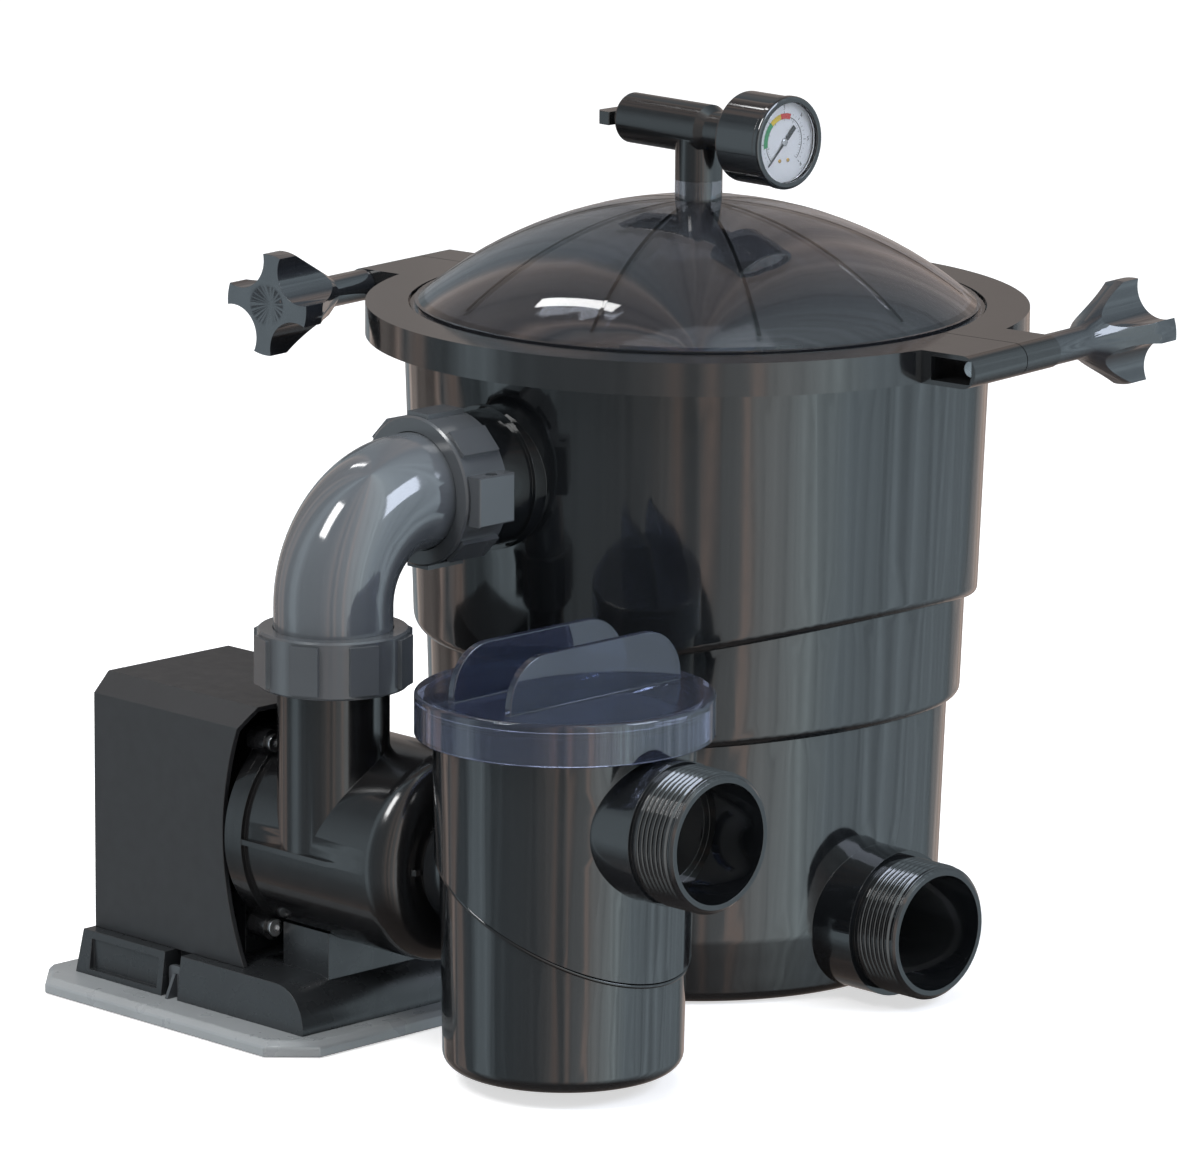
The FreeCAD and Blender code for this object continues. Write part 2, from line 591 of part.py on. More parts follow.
def stood(x, y, z, rotation=None):
    """Placement at three sizes; bound_spot later ties the body to the same sizes."""
    return Placement(Vector(float(x), float(y), float(z)), rotation or Rotation())


def bind_spot(body, x, y, z):
    """Ties a body's place to sizes."""
    for axis, value in (("x", x), ("y", y), ("z", z)):
        body.setExpression(f".Placement.Base.{axis}", Size.of(value).words)


lid_seal_bottom = rim_height - lid_seal_thick
lid_seal = ring_seal("tank_lid_o_ring", lid_seal_radius, lid_seal_thick, stood(0, 0, lid_seal_bottom))
bind_spot(lid_seal, 0, 0, lid_seal_bottom)

# Domed lid with its collar, ten inner ribs and the boss for the gauge tee
lid = new_body("tank_lid", Placement(Vector(), Rotation(Vector(0, 0, 1), rib_turn.number)))
lid.setExpression(".Placement.Rotation.Angle", rib_turn.words)
boss_top = dome_top + boss_height
turned(lid, [
    (0, rim_height), (flange_radius, rim_height), (flange_radius, lid_flange_top),
    (dome_collar_radius, lid_flange_top), (dome_collar_radius, collar_top - 2.2),
    (dome_foot_radius + 2, collar_top - 2.2), (dome_foot_radius + 2, collar_top),
    (dome_foot_radius, collar_top, dome_sphere, 1), (0, dome_top)])
turned(lid, [
    (0, rim_height - 1), (dome_foot_radius - dome_wall, rim_height - 1),
    (dome_foot_radius - dome_wall, collar_top, dome_inner_sphere, 1),
    (0, dome_top - dome_wall)], "Groove")
boss_sketch = new_sketch(lid, "XY_Plane", dome_top - dome_wall / 2)
circle(boss_sketch, 0, 0, boss_radius)
drawn(lid, boss_sketch, boss_height + dome_wall / 2)
rib_start = boss_radius - 2
rib_end = dome_foot_radius - 7
rib_inner = dome_inner_sphere - rib_depth
rib_outer = dome_sphere - dome_wall / 2


def dome_height(sphere, reach):
    """Height of a sphere about the dome's centre, at a distance from the axis."""
    return dome_top - dome_sphere + root(sphere * sphere - reach * reach)


rib_sketch = new_sketch(lid, "XZ_Plane")
outline(rib_sketch, [
    (rib_start, dome_height(rib_inner, rib_start), rib_inner, -1),
    (rib_end, dome_height(rib_inner, rib_end)),
    (rib_end, dome_height(rib_outer, rib_end), rib_outer, 1),
    (rib_start, dome_height(rib_outer, rib_start))])
rib = drawn(lid, rib_sketch, rib_thick, midplane=True)
patterned(lid, [rib], rib_count)
lid_bore = new_sketch(lid, "XY_Plane", boss_top - boss_height - dome_wall - rib_depth)
circle(lid_bore, 0, 0, stem_bore)
drawn(lid, lid_bore, boss_height * 2 + dome_wall + rib_depth, "Pocket", backwards=True)


# Clamp ring: two halves with a hollow ear and a collared ear each
def clamp_half(label, side):
    """One half of the clamp; side is 1 for the half beyond the split and -1 before it."""
    spot = Placement(Vector(), Rotation(Vector(0, 0, 1), split_turn.number))
    body = new_body(label, spot)
    body.setExpression(".Placement.Rotation.Angle", split_turn.words)
    lower_lip = wall_radius(clamp_bottom, 0) + 1.2
    turned(body, [(clamp_lip_radius - 2, clamp_bottom), (clamp_radius, clamp_bottom),
                  (clamp_radius, clamp_top), (clamp_lip_radius - 2, clamp_top)])
    ear_side = clamp_bolt_reach + ear_round
    ear_root = clamp_lip_radius + 8
    for way in (1, -1):
        ear = new_sketch(body, "XY_Plane", clamp_bottom)
        outline(ear, [
            (ear_root * way, -ear_open_end * way), (ear_side * way, -ear_open_end * way),
            (ear_side * way, ear_collar_end * way), (ear_root * way, ear_collar_end * way)])
        drawn(body, ear, clamp_height)
    rounded(body, clamp_height / 2 - 0.2, lambda edge: abs(edge.BoundBox.Center.x)
            > float(ear_side) - 0.1 and edge.BoundBox.YLength > 20)
    turned(body, [(1, clamp_bottom - 1), (lower_lip, clamp_bottom - 1),
                  (lower_lip, flange_bottom - clamp_gap),
                  (flange_radius + clamp_gap, flange_bottom - clamp_gap),
                  (flange_radius + clamp_gap, lid_flange_top + clamp_gap),
                  (clamp_lip_radius, lid_flange_top + clamp_gap),
                  (clamp_lip_radius, clamp_top + 1), (1, clamp_top + 1)], "Groove")
    for way in (1, -1):
        hollow = new_sketch(body, "XZ_Plane", ear_open_end * way)
        outline(hollow, [
            ((clamp_radius + ear_shell) * way, clamp_bottom + ear_shell),
            ((ear_side - ear_shell) * way, clamp_bottom + ear_shell),
            ((ear_side - ear_shell) * way, clamp_top - ear_shell),
            ((clamp_radius + ear_shell) * way, clamp_top - ear_shell)])
        drawn(body, hollow, ear_open_end * 0.6, "Pocket", backwards=way < 0)
        hole = new_sketch(body, "XZ_Plane", ear_open_end * way)
        circle(hole, clamp_bolt_reach * way, clamp_middle, bolt_radius + bolt_gap)
        drawn(body, hole, ear_open_end + ear_collar_end + 1, "Pocket", backwards=way < 0)
    cut = new_sketch(body, "XY_Plane", clamp_bottom - 1)
    edge_y = split_shift + split_gap / 2 * side
    far = (clamp_radius + 60) * -side
    wide = clamp_radius + 60
    outline(cut, [(-wide, edge_y), (wide, edge_y), (wide, far), (-wide, far)])
    drawn(body, cut, clamp_height + 2, "Pocket", backwards=True)
    return body


clamp_half("clamp_front_half", -1)
clamp_half("clamp_rear_half", 1)

# Clamp bolts: a square head held in each hollow ear, the shank reaching into the knob
head_size = bolt_radius * 2.6
head_seat = -ear_open_end * 0.4
bolt_tip = ear_collar_end + knob_length * 0.6


def ear_spot(way, along):
    """Placement on a clamp bolt's axis, its Z axis pointing towards the knob."""
    turn = math.radians(split_turn.number)
    out = Vector(math.cos(turn), math.sin(turn), 0) * (clamp_bolt_reach.number * way)
    forth = Vector(-math.sin(turn), math.cos(turn), 0) * (float(along) * way)
    base = out + forth + Vector(0, 0, clamp_middle.number)
    direction = Vector(-math.sin(turn), math.cos(turn), 0) * way
    return Placement(base, Rotation(Vector(0, 0, 1), direction))


def bind_ear_spot(body, way, along):
    """Ties a body on a clamp bolt's axis to the split's direction and reach."""
    bind_spot(body,
              (clamp_bolt_reach * cosine(split_turn) - along * sine(split_turn)) * way,
              (clamp_bolt_reach * sine(split_turn) + along * cosine(split_turn)) * way,
              clamp_middle)


def clamp_bolt(label, way):
    """Bolt with a square head and an end that shows in the ear's open end."""
    body = new_body(label, ear_spot(way, 0))
    bind_ear_spot(body, way, Size.of(0.0))
    turned(body, [(0, head_seat - head_size / 2 - 6), (bolt_radius, head_seat - head_size / 2 - 6),
                  (bolt_radius, bolt_tip), (0, bolt_tip)])
    head = new_sketch(body, "XY_Plane", head_seat)
    outline(head, [(-head_size / 2, -head_size / 2), (head_size / 2, -head_size / 2),
                   (head_size / 2, head_size / 2), (-head_size / 2, head_size / 2)])
    drawn(body, head, head_size / 2, backwards=True)
    return body


def clamp_knob(label, way):
    """Four-winged knob on a long sleeve, its face turned away from the ear."""
    start = ear_collar_end + part_gap
    body = new_body(label, ear_spot(way, start))
    bind_ear_spot(body, way, start)
    cone_end = knob_length - knob_tip_length
    turned(body, [(0, 0), (knob_sleeve_radius, 0), (knob_sleeve_radius, knob_sleeve_length),
                  (knob_lobe_radius, cone_end), (knob_lobe_radius, knob_length),
                  (0, knob_length)])
    valley = new_sketch(body, "XY_Plane", knob_sleeve_length + 2)
    half = knob_valley_reach * cosine(45)
    circle(valley, half, half, knob_valley_radius)
    hollow = drawn(body, valley, knob_length, "Pocket", backwards=True)
    patterned(body, [hollow], Size.of(4))
    turned(body, [(0, knob_length - knob_dish_depth),
                  (knob_dish_radius, knob_length), (0, knob_length + 1)], "Groove")
    bore = new_sketch(body, "XY_Plane")
    circle(bore, 0, 0, bolt_radius + shaft_gap)
    drawn(body, bore, knob_length * 0.64, "Pocket", backwards=True)
    return body


for side_name, way in (("right", 1), ("left", -1)):
    clamp_bolt(f"clamp_bolt_{side_name}", way)
    clamp_knob(f"clamp_knob_{side_name}", way)

# Filter cartridge: pleated media round a perforated core, between two caps
cap_radius = media_radius + 3
media_bottom = cartridge_bottom + cap_thick
media_height = cartridge_height - cap_thick * 2
core_radius = media_core_radius - part_gap
manifold_radius = port_bore_radius - part_gap
manifold_wall = core_wall * 1.6


def cartridge_cap(label, bottom, foot):
    """End cap with a short spigot that centres the core; the foot's spigot points down."""
    body = new_body(label, stood(0, 0, bottom))
    bind_spot(body, 0, 0, bottom)
    spigot = manifold_radius - manifold_wall - part_gap
    opening = spigot - core_wall
    if foot:
        turned(body, [(opening, -cap_thick), (spigot, -cap_thick), (spigot, 0), (cap_radius, 0),
                      (cap_radius, cap_thick), (opening, cap_thick)])
    else:
        turned(body, [(0, 0), (cap_radius, 0), (cap_radius, cap_thick), (0, cap_thick)])
    rounded(body, cap_thick / 4, lambda edge: edge.BoundBox.XMax > float(cap_radius) - 0.1
            and edge.BoundBox.ZLength < 0.1)
    return body


cartridge_cap("cartridge_bottom_cap", cartridge_bottom, True)
cartridge_cap("cartridge_top_cap", cartridge_bottom + cartridge_height - cap_thick, False)

media = new_body("cartridge_media", stood(0, 0, media_bottom))
bind_spot(media, 0, 0, media_bottom)
turned(media, [(media_core_radius, 0), (media_radius, 0), (media_radius, media_height),
               (media_core_radius, media_height)])
pleat = new_sketch(media, "XY_Plane")
pleat_half = media_radius * 0.07
outline(pleat, [(media_radius * 0.8, 0), (media_radius + 1, -pleat_half), (media_radius + 1, pleat_half)])
pleat_cut = drawn(media, pleat, media_height, "Pocket", backwards=True)
patterned(media, [pleat_cut], pleat_count)

core = new_body("cartridge_core", stood(0, 0, media_bottom))
bind_spot(core, 0, 0, media_bottom)
turned(core, [(core_radius - core_wall, 0), (core_radius, 0), (core_radius, media_height),
              (core_radius - core_wall, media_height)])
core_hole = new_sketch(core, "XZ_Plane")
for row in range(5):
    circle(core_hole, 0, media_height * (row + 1) / 6, core_wall * 2)
core_cut = drawn(core, core_hole, core_radius + 1, "Pocket", backwards=False)
patterned(core, [core_cut], Size.of(8))

# Manifold that carries the cartridge on the tank's floor and leads to the outlet
manifold = new_body("outlet_manifold", stood(0, 0, tank_floor))
bind_spot(manifold, 0, 0, tank_floor)
manifold_height = cartridge_bottom - tank_floor
turned(manifold, [(0, 0), (manifold_radius + 8, 0), (manifold_radius + 8, cap_thick),
                  (manifold_radius, cap_thick), (manifold_radius, manifold_height), (0, manifold_height)])
branch = new_sketch(manifold, "YZ_Plane")
circle(branch, 0, outlet_height - tank_floor, manifold_radius - 3)
drawn(manifold, branch, inner_reach + 4)
lip = new_sketch(manifold, "YZ_Plane", inner_reach - 10)
circle(lip, 0, outlet_height - tank_floor, manifold_radius)
drawn(manifold, lip, 14)
turned(manifold, [(0, cap_thick), (manifold_radius - manifold_wall, cap_thick),
                  (manifold_radius - manifold_wall, manifold_height + 1), (0, manifold_height + 1)], "Groove")
branch_bore = new_sketch(manifold, "YZ_Plane")
circle(branch_bore, 0, outlet_height - tank_floor, manifold_radius - 6)
drawn(manifold, branch_bore, inner_reach + 11, "Pocket", backwards=True)

# Gauge group on the dome's boss. Pieces on the crossbar's axis are drawn about their
# own Z axis and laid along X; their own X axis then points along Y and their Y up.
ALONG_X = Rotation(Vector(0, 1, 0), Vector(0, 0, 1), Vector(1, 0, 0), "ZXY")


def on_crossbar(label, place):
    """Starts a body on the tee's crossbar, its Z axis along X."""
    body = new_body(label, stood(place, 0, tee_height, ALONG_X))
    bind_spot(body, place, 0, tee_height)
    return body


tee = on_crossbar("gauge_tee", 0)
neck_end = case_back - part_gap
turned(tee, [(0, -tee_left), (tee_radius, -tee_left), (tee_radius, tee_right),
             (tee_neck_radius, tee_right + 4), (tee_neck_radius, neck_end), (0, neck_end)])
rounded(tee, 2.0, lambda edge: edge.BoundBox.ZMax < float(-tee_left) + 0.1)
tee_drop = tee_height - boss_top
stem = new_sketch(tee, "XZ_Plane")
circle(stem, 0, 0, tee_stem_radius)
drawn(tee, stem, tee_drop)
spigot = new_sketch(tee, "XZ_Plane")
circle(spigot, 0, 0, stem_bore - shaft_gap)
drawn(tee, spigot, tee_drop + boss_height)
stem_hole = new_sketch(tee, "XZ_Plane")
circle(stem_hole, 0, 0, tee_bore - 0.8)
drawn(tee, stem_hole, tee_drop + boss_height + 1, "Pocket", backwards=True)
cross_hole = new_sketch(tee, "XY_Plane", -tee_left - 1)
circle(cross_hole, 0, 0, tee_bore)
drawn(tee, cross_hole, tee_left + neck_end + 2, "Pocket", backwards=True)
socket_depth = tee_left * 0.5
socket = new_sketch(tee, "XY_Plane", -tee_left - 1)
circle(socket, 0, 0, plug_radius + shaft_gap)
drawn(tee, socket, socket_depth + 1, "Pocket", backwards=True)

plug = on_crossbar("air_bleed_plug", -tee_left)
wing_start = part_gap * 2
turned(plug, [(0, -wing_start - 3), (plug_radius + 1.5, -wing_start - 3), (plug_radius + 1.5, -part_gap),
              (plug_radius, -part_gap), (plug_radius, socket_depth - 1), (0, socket_depth - 1)])
wings = new_sketch(plug, "XY_Plane", -wing_start - 3)
outline(wings, [
    (-plug_wing, -plug_wing_thick / 2), (plug_wing, -plug_wing_thick / 2),
    (plug_wing, plug_wing_thick / 2), (-plug_wing, plug_wing_thick / 2)])
drawn(plug, wings, plug_wing_length, backwards=True)
rounded(plug, 3.0, lambda edge: edge.BoundBox.ZMax < float(-wing_start - 3 - plug_wing_length) + 0.1
        and edge.BoundBox.YLength > 2, "Chamfer")

bezel_back = case_back + case_length - bezel_depth
case = on_crossbar("gauge_case", case_back)
case_depth = case_length - bezel_depth
turned(case, [(tee_bore, 0), (case_radius - 0.6, 0), (case_radius - 0.6, case_depth),
              (case_radius - case_wall - 0.6, case_depth),
              (case_radius - case_wall - 0.6, case_wall), (tee_bore, case_wall)])
rounded(case, 1.6, lambda edge: edge.BoundBox.ZMax < 0.1 and edge.BoundBox.XMax > 15)
dial_seat = case_length - bezel_depth - 1.8
dial = on_crossbar("gauge_dial", case_back + dial_seat)
turned(dial, [(1.2, 0), (dial_radius, 0), (dial_radius, dial_thick), (1.2, dial_thick)])
movement = on_crossbar("gauge_movement", case_back + case_wall)
turned(movement, [(0, -case_wall - part_gap - 6), (tee_bore - shaft_gap, -case_wall - part_gap - 6),
                  (tee_bore - shaft_gap, 0), (dial_radius * 0.7, 0),
                  (dial_radius * 0.7, dial_seat - case_wall), (0, dial_seat - case_wall)])
bezel = on_crossbar("gauge_bezel", bezel_back)
turned(bezel, [(bezel_opening, bezel_depth - 1.6), (case_radius - 1.4, 0), (case_radius, 0),
               (case_radius, bezel_depth - 0.8), (case_radius - 0.8, bezel_depth),
               (bezel_opening, bezel_depth)])
lens = on_crossbar("gauge_lens", bezel_back + 0.4)
lens_radius = bezel_opening - 0.2
turned(lens, [(0, 0), (lens_radius, 0), (lens_radius, lens_thick), (0, lens_thick)])
needle_seat = case_back + dial_seat + dial_thick + 0.2
needle = on_crossbar("gauge_needle", needle_seat)
needle.Placement = Placement(needle.Placement.Base,
                             ALONG_X.multiply(Rotation(Vector(0, 0, 1), -needle_rest.number)))
hub_radius = Size.of(2.2)
needle_sketch = new_sketch(needle, "XY_Plane")
outline(needle_sketch, [(-0.5, 0), (0.5, 0), (0.2, needle_length), (-0.2, needle_length)])
drawn(needle, needle_sketch, needle_thick)
tail_sketch = new_sketch(needle, "XY_Plane")
outline(tail_sketch, [(-1.0, -needle_length * 0.55), (1.0, -needle_length * 0.55), (0.5, 0), (-0.5, 0)])
drawn(needle, tail_sketch, needle_thick)
hub_sketch = new_sketch(needle, "XY_Plane")
circle(hub_sketch, 0, 0, hub_radius)
drawn(needle, hub_sketch, needle_thick + 0.2)
arbor_sketch = new_sketch(needle, "XY_Plane")
circle(arbor_sketch, 0, 0, 1.0)
drawn(needle, arbor_sketch, dial_thick + 0.2, backwards=True)


# Elbow and its union nuts
nut_cavity = nut_shoulder + nut_gap
ACROSS_Y = Rotation(Vector(1, 0, 0), Vector(0, 0, -1), Vector(0, 1, 0), "ZXY")
DOWNWARD = Rotation(Vector(1, 0, 0), 180)


def union_nut(label, x, y, z, rotation, lug_turn):
    """Union nut about its own Z axis, which runs from its outer face to its stub."""
    body = new_body(label, Placement(stood(x, y, z).Base,
                                     rotation.multiply(Rotation(Vector(0, 0, 1), lug_turn))))
    bind_spot(body, x, y, z)
    turned(body, [(0, 0), (nut_radius - 1, 0), (nut_radius, 1), (nut_radius, nut_length - 1),
                  (nut_radius - 1, nut_length), (0, nut_length)])
    lobe = new_sketch(body, "XY_Plane", nut_length * 0.08)
    lobe_side = nut_lobe_width / 2
    outline(lobe, [(nut_radius - 3, -lobe_side), (nut_radius + nut_lobe - 1, -lobe_side),
                   (nut_radius + nut_lobe - 1, lobe_side), (nut_radius - 3, lobe_side)])
    lobe_pad = drawn(body, lobe, nut_length * 0.84)
    patterned(body, [lobe_pad], nut_lobe_count)
    lug = new_sketch(body, "XY_Plane", nut_length * 0.08)
    outline(lug, [(nut_radius - 3, -lug_length / 2), (lug_reach, -lug_length / 2),
                  (lug_reach, lug_length / 2), (nut_radius - 3, lug_length / 2)])
    drawn(body, lug, nut_length * 0.84)
    lug_edge = lug_reach - 0.1
    rounded(body, 1.2, lambda edge: edge.BoundBox.XMin > float(lug_edge))
    hole = new_sketch(body, "XZ_Plane")
    circle(hole, lug_reach - lug_hole - 1.6, nut_length / 2, lug_hole)
    drawn(body, hole, kind="Pocket", midplane=True)
    turned(body, [(0, -1), (elbow_radius + nut_gap, -1), (elbow_radius + nut_gap, nut_shoulder),
                  (stub_radius + nut_gap, nut_shoulder), (stub_radius + nut_gap, nut_length + 1),
                  (0, nut_length + 1)], "Groove")
    return body


union_nut("upper_union_nut", 0, -upper_nut_face, inlet_height, ACROSS_Y, 0)
union_nut("lower_union_nut", 0, -riser_reach, lower_nut_face, DOWNWARD, 200)

elbow = new_body("union_elbow", stood(0, -riser_reach, 0))
bind_spot(elbow, 0, -riser_reach, 0)
elbow_bottom = lower_nut_face - nut_cavity
elbow_end = riser_reach - upper_nut_face + nut_cavity
route = new_sketch(elbow, "YZ_Plane")
bend_top = inlet_height - elbow_bend


def draw_route(sketch):
    """Upright run, quarter bend and level run of the elbow's centre line."""
    sketch.addGeometry(Part.LineSegment(Vector(0, float(elbow_bottom), 0), Vector(0, float(bend_top), 0)))
    sketch.addGeometry(Part.ArcOfCircle(
        Part.Circle(Vector(float(elbow_bend), float(bend_top), 0), Vector(0, 0, 1), float(elbow_bend)),
        math.pi / 2, math.pi))
    sketch.addGeometry(Part.LineSegment(Vector(float(elbow_bend), float(inlet_height), 0),
                                        Vector(float(elbow_end), float(inlet_height), 0)))
    sketch.addConstraint(Sketcher.Constraint("Coincident", 0, 2, 1, 2))
    sketch.addConstraint(Sketcher.Constraint("Coincident", 1, 1, 2, 1))
    pin(sketch, 0, 1, (0, elbow_bottom))
    pin(sketch, 0, 2, (0, bend_top))
    pin(sketch, 2, 1, (elbow_bend, inlet_height))
    pin(sketch, 2, 2, (elbow_end, inlet_height))


draw_route(route)
for kind, radius in (("AdditivePipe", elbow_radius), ("SubtractivePipe", union_bore_radius)):
    section = new_sketch(elbow, "XY_Plane", elbow_bottom)
    circle(section, 0, 0, radius)
    pipe = elbow.newObject(f"PartDesign::{kind}", f"elbow_{kind}")
    pipe.Profile = section
    pipe.Spine = (route, ["Edge1", "Edge2", "Edge3"])
    section.Visibility = False
collar_radius = stub_radius - 0.4
low_collar = new_sketch(elbow, "XY_Plane", elbow_bottom)
circle(low_collar, 0, 0, collar_radius)
circle(low_collar, 0, 0, union_bore_radius)
drawn(elbow, low_collar, collar_thick, backwards=True)
high_collar = new_sketch(elbow, "XZ_Plane", -elbow_end)
circle(high_collar, 0, inlet_height, collar_radius)
circle(high_collar, 0, inlet_height, union_bore_radius)
drawn(elbow, high_collar, collar_thick, backwards=True)

upper_seal = ring_seal("upper_union_o_ring", union_seal_radius, union_seal_thick,
                       stood(0, -inlet_face, inlet_height, Rotation(Vector(1, 0, 0), -90)))
bind_spot(upper_seal, 0, -inlet_face, inlet_height)

# Pump. Pieces on the shaft are drawn about their own Z axis and laid along X
riser_top = lower_nut_face - nut_cavity - collar_thick
riser_side = riser_reach - pump_side
pot_near = pot_centre - pot_top_radius - 2
neck_radius = eye_radius + volute_wall + 3
lower_seal_height = riser_top - union_seal_thick
lower_seal = ring_seal("lower_union_o_ring", union_seal_radius, union_seal_thick,
                       stood(0, -riser_reach, lower_seal_height))
bind_spot(lower_seal, 0, -riser_reach, lower_seal_height)


def on_shaft(label, place):
    """Starts a body on the shaft's axis, its Z axis along X."""
    body = new_body(label, stood(place, -pump_side, pump_height, ALONG_X))
    bind_spot(body, place, -pump_side, pump_height)
    return body


def bolt_ears(body, place, thick, ear_radius):
    """Adds the four bolt ears of the pump's flange and drills them."""
    for side in (1, -1):
        for rise in (1, -1):
            ear = new_sketch(body, "XY_Plane", place)
            circle(ear, flange_bolt_across * side, flange_bolt_up * rise, ear_radius)
            drawn(body, ear, thick)
    for side in (1, -1):
        for rise in (1, -1):
            hole = new_sketch(body, "XY_Plane", place)
            circle(hole, flange_bolt_across * side, flange_bolt_up * rise, flange_bolt_radius + 0.2)
            drawn(body, hole, thick, "Pocket", backwards=True)


ear_radius = flange_bolt_radius * 2.6
volute = on_shaft("pump_volute", 0)
volute_round = 16
turned(volute, [
    (0, volute_back), (volute_flange_radius, volute_back),
    (volute_flange_radius, volute_back + volute_flange),
    (volute_radius, volute_back + volute_flange),
    (volute_radius, volute_shoulder, volute_round, 1),
    (volute_radius - volute_round, volute_shoulder + volute_round),
    (neck_radius, volute_shoulder + volute_round), (neck_radius, pot_near), (0, pot_near)])
riser = new_sketch(volute, "XZ_Plane")
circle(riser, -riser_side, 0, riser_radius)
drawn(volute, riser, riser_top - pump_height, backwards=True)
riser_thread = new_sketch(volute, "XZ_Plane", pump_height - riser_top)
circle(riser_thread, -riser_side, 0, stub_radius)
drawn(volute, riser_thread, nut_length - nut_cavity - collar_thick - 2)
rib_side = volute_radius + rib_proud
rib_tip = rib_side * 0.64
rib_turn_place = volute_shoulder - 26
side_rib = new_sketch(volute, "XZ_Plane")
outline(side_rib, [
    (-rib_side, volute_back), (rib_side, volute_back), (rib_side, rib_turn_place),
    (rib_tip, pot_near - 1), (-rib_tip, pot_near - 1), (-rib_side, rib_turn_place)])
drawn(volute, side_rib, rib_plate, midplane=True)
bolt_ears(volute, volute_back, volute_flange, ear_radius)
chamber = volute_radius - volute_wall
turned(volute, [
    (0, volute_back - 1), (chamber, volute_back - 1), (chamber, volute_shoulder),
    (eye_radius, volute_shoulder + volute_round - volute_wall), (eye_radius, pot_near + 1),
    (0, pot_near + 1)], "Groove")
riser_bore = new_sketch(volute, "XZ_Plane")
circle(riser_bore, -riser_side, 0, union_bore_radius)
drawn(volute, riser_bore, riser_top - pump_height + 1, "Pocket")
riser_groove = new_sketch(volute, "XZ_Plane", pump_height - riser_top)
circle(riser_groove, -riser_side, 0, union_seal_radius - seal_half)
circle(riser_groove, -riser_side, 0, union_seal_radius + seal_half)
drawn(volute, riser_groove, union_seal_thick + seal_groove_extra, "Pocket", backwards=True)

plate_place = volute_back - plate_thick
seal_plate = on_shaft("pump_seal_plate", plate_place)
seat_radius = shaft_radius * 2
seat_thick = plate_thick * 0.6
turned(seal_plate, [
    (shaft_radius + shaft_gap, 0), (volute_flange_radius, 0), (volute_flange_radius, plate_thick),
    (chamber - part_gap, plate_thick), (chamber - part_gap, plate_thick + 3),
    (chamber - 4, plate_thick + 3), (chamber - 4, plate_thick), (seat_radius, plate_thick),
    (seat_radius, plate_thick - seat_thick), (shaft_radius + shaft_gap, plate_thick - seat_thick)])
bolt_ears(seal_plate, 0, plate_thick, ear_radius)

seal_seat = on_shaft("shaft_seal_seat", volute_back - seat_thick)
turned(seal_seat, [(shaft_radius + shaft_gap, 0), (seat_radius, 0), (seat_radius, seat_thick),
                   (shaft_radius + shaft_gap, seat_thick)])
impeller_place = volute_back + 7
seal_head = on_shaft("shaft_seal_head", volute_back + part_gap)
turned(seal_head, [(shaft_radius, 0), (seat_radius - 1, 0), (seat_radius - 1, 2.5),
                   (seat_radius - 2.5, 3.5), (seat_radius - 2.5, impeller_place - volute_back - part_gap),
                   (shaft_radius, impeller_place - volute_back - part_gap)])



def flange_bolt_shapes():
    """Four bolts with round heads on the volute's side, as one group of solids."""
    grip = float(plate_thick + volute_flange)
    shapes = []
    for side in (1, -1):
        for rise in (1, -1):
            spot = Vector(float(flange_bolt_across) * side, float(flange_bolt_up) * rise, 0)
            shank = Part.makeCylinder(float(flange_bolt_radius), grip, spot)
            head = Part.makeCylinder(float(flange_bolt_radius) * 1.8, float(flange_bolt_radius),
                                     spot + Vector(0, 0, grip))
            recess = Part.makeCylinder(float(flange_bolt_radius) * 0.8, float(flange_bolt_radius),
                                       spot + Vector(0, 0, grip + float(flange_bolt_radius) * 0.4))
            shapes.append(shank.fuse(head).cut(recess).removeSplitter())
    return Part.makeCompound(shapes)


flange_bolts = document.addObject("Part::Feature", "pump_flange_bolts")
flange_bolts.Label = "pump_flange_bolts"
flange_bolts.Shape = flange_bolt_shapes()
flange_bolts.Placement = stood(plate_place, -pump_side, pump_height, ALONG_X)
bind_spot(flange_bolts, plate_place, -pump_side, pump_height)

impeller = on_shaft("impeller", impeller_place)
hub_length = impeller_disc + vane_height + 1
turned(impeller, [(shaft_radius, 0), (impeller_radius, 0), (impeller_radius, impeller_disc),
                  (shaft_radius * 2, impeller_disc), (shaft_radius * 1.6, hub_length),
                  (shaft_radius, hub_length)])
vane = new_sketch(impeller, "XY_Plane", impeller_disc * 0.5)
vane_start = shaft_radius * 1.5
vane_bow = impeller_radius * 0.62
vane_thick = 2.4
outline(vane, [
    (vane_start, 0, vane_bow, 1), (0, impeller_radius - 0.5),
    (-vane_thick, impeller_radius - 0.5, vane_bow, -1), (vane_start - vane_thick, 0)])
vane_pad = drawn(impeller, vane, vane_height + impeller_disc * 0.5)
patterned(impeller, [vane_pad], vane_count)

diffuser_place = impeller_place + impeller_disc + vane_height + part_gap + 0.4
diffuser = on_shaft("pump_diffuser", diffuser_place)
diffuser_end = pot_near - diffuser_place
diffuser_tube = eye_radius - part_gap
turned(diffuser, [(diffuser_tube - 2.5, 0), (chamber - 8, 0), (chamber - 8, 3), (diffuser_tube, 3),
                  (diffuser_tube, diffuser_end), (diffuser_tube - 2.5, diffuser_end)])

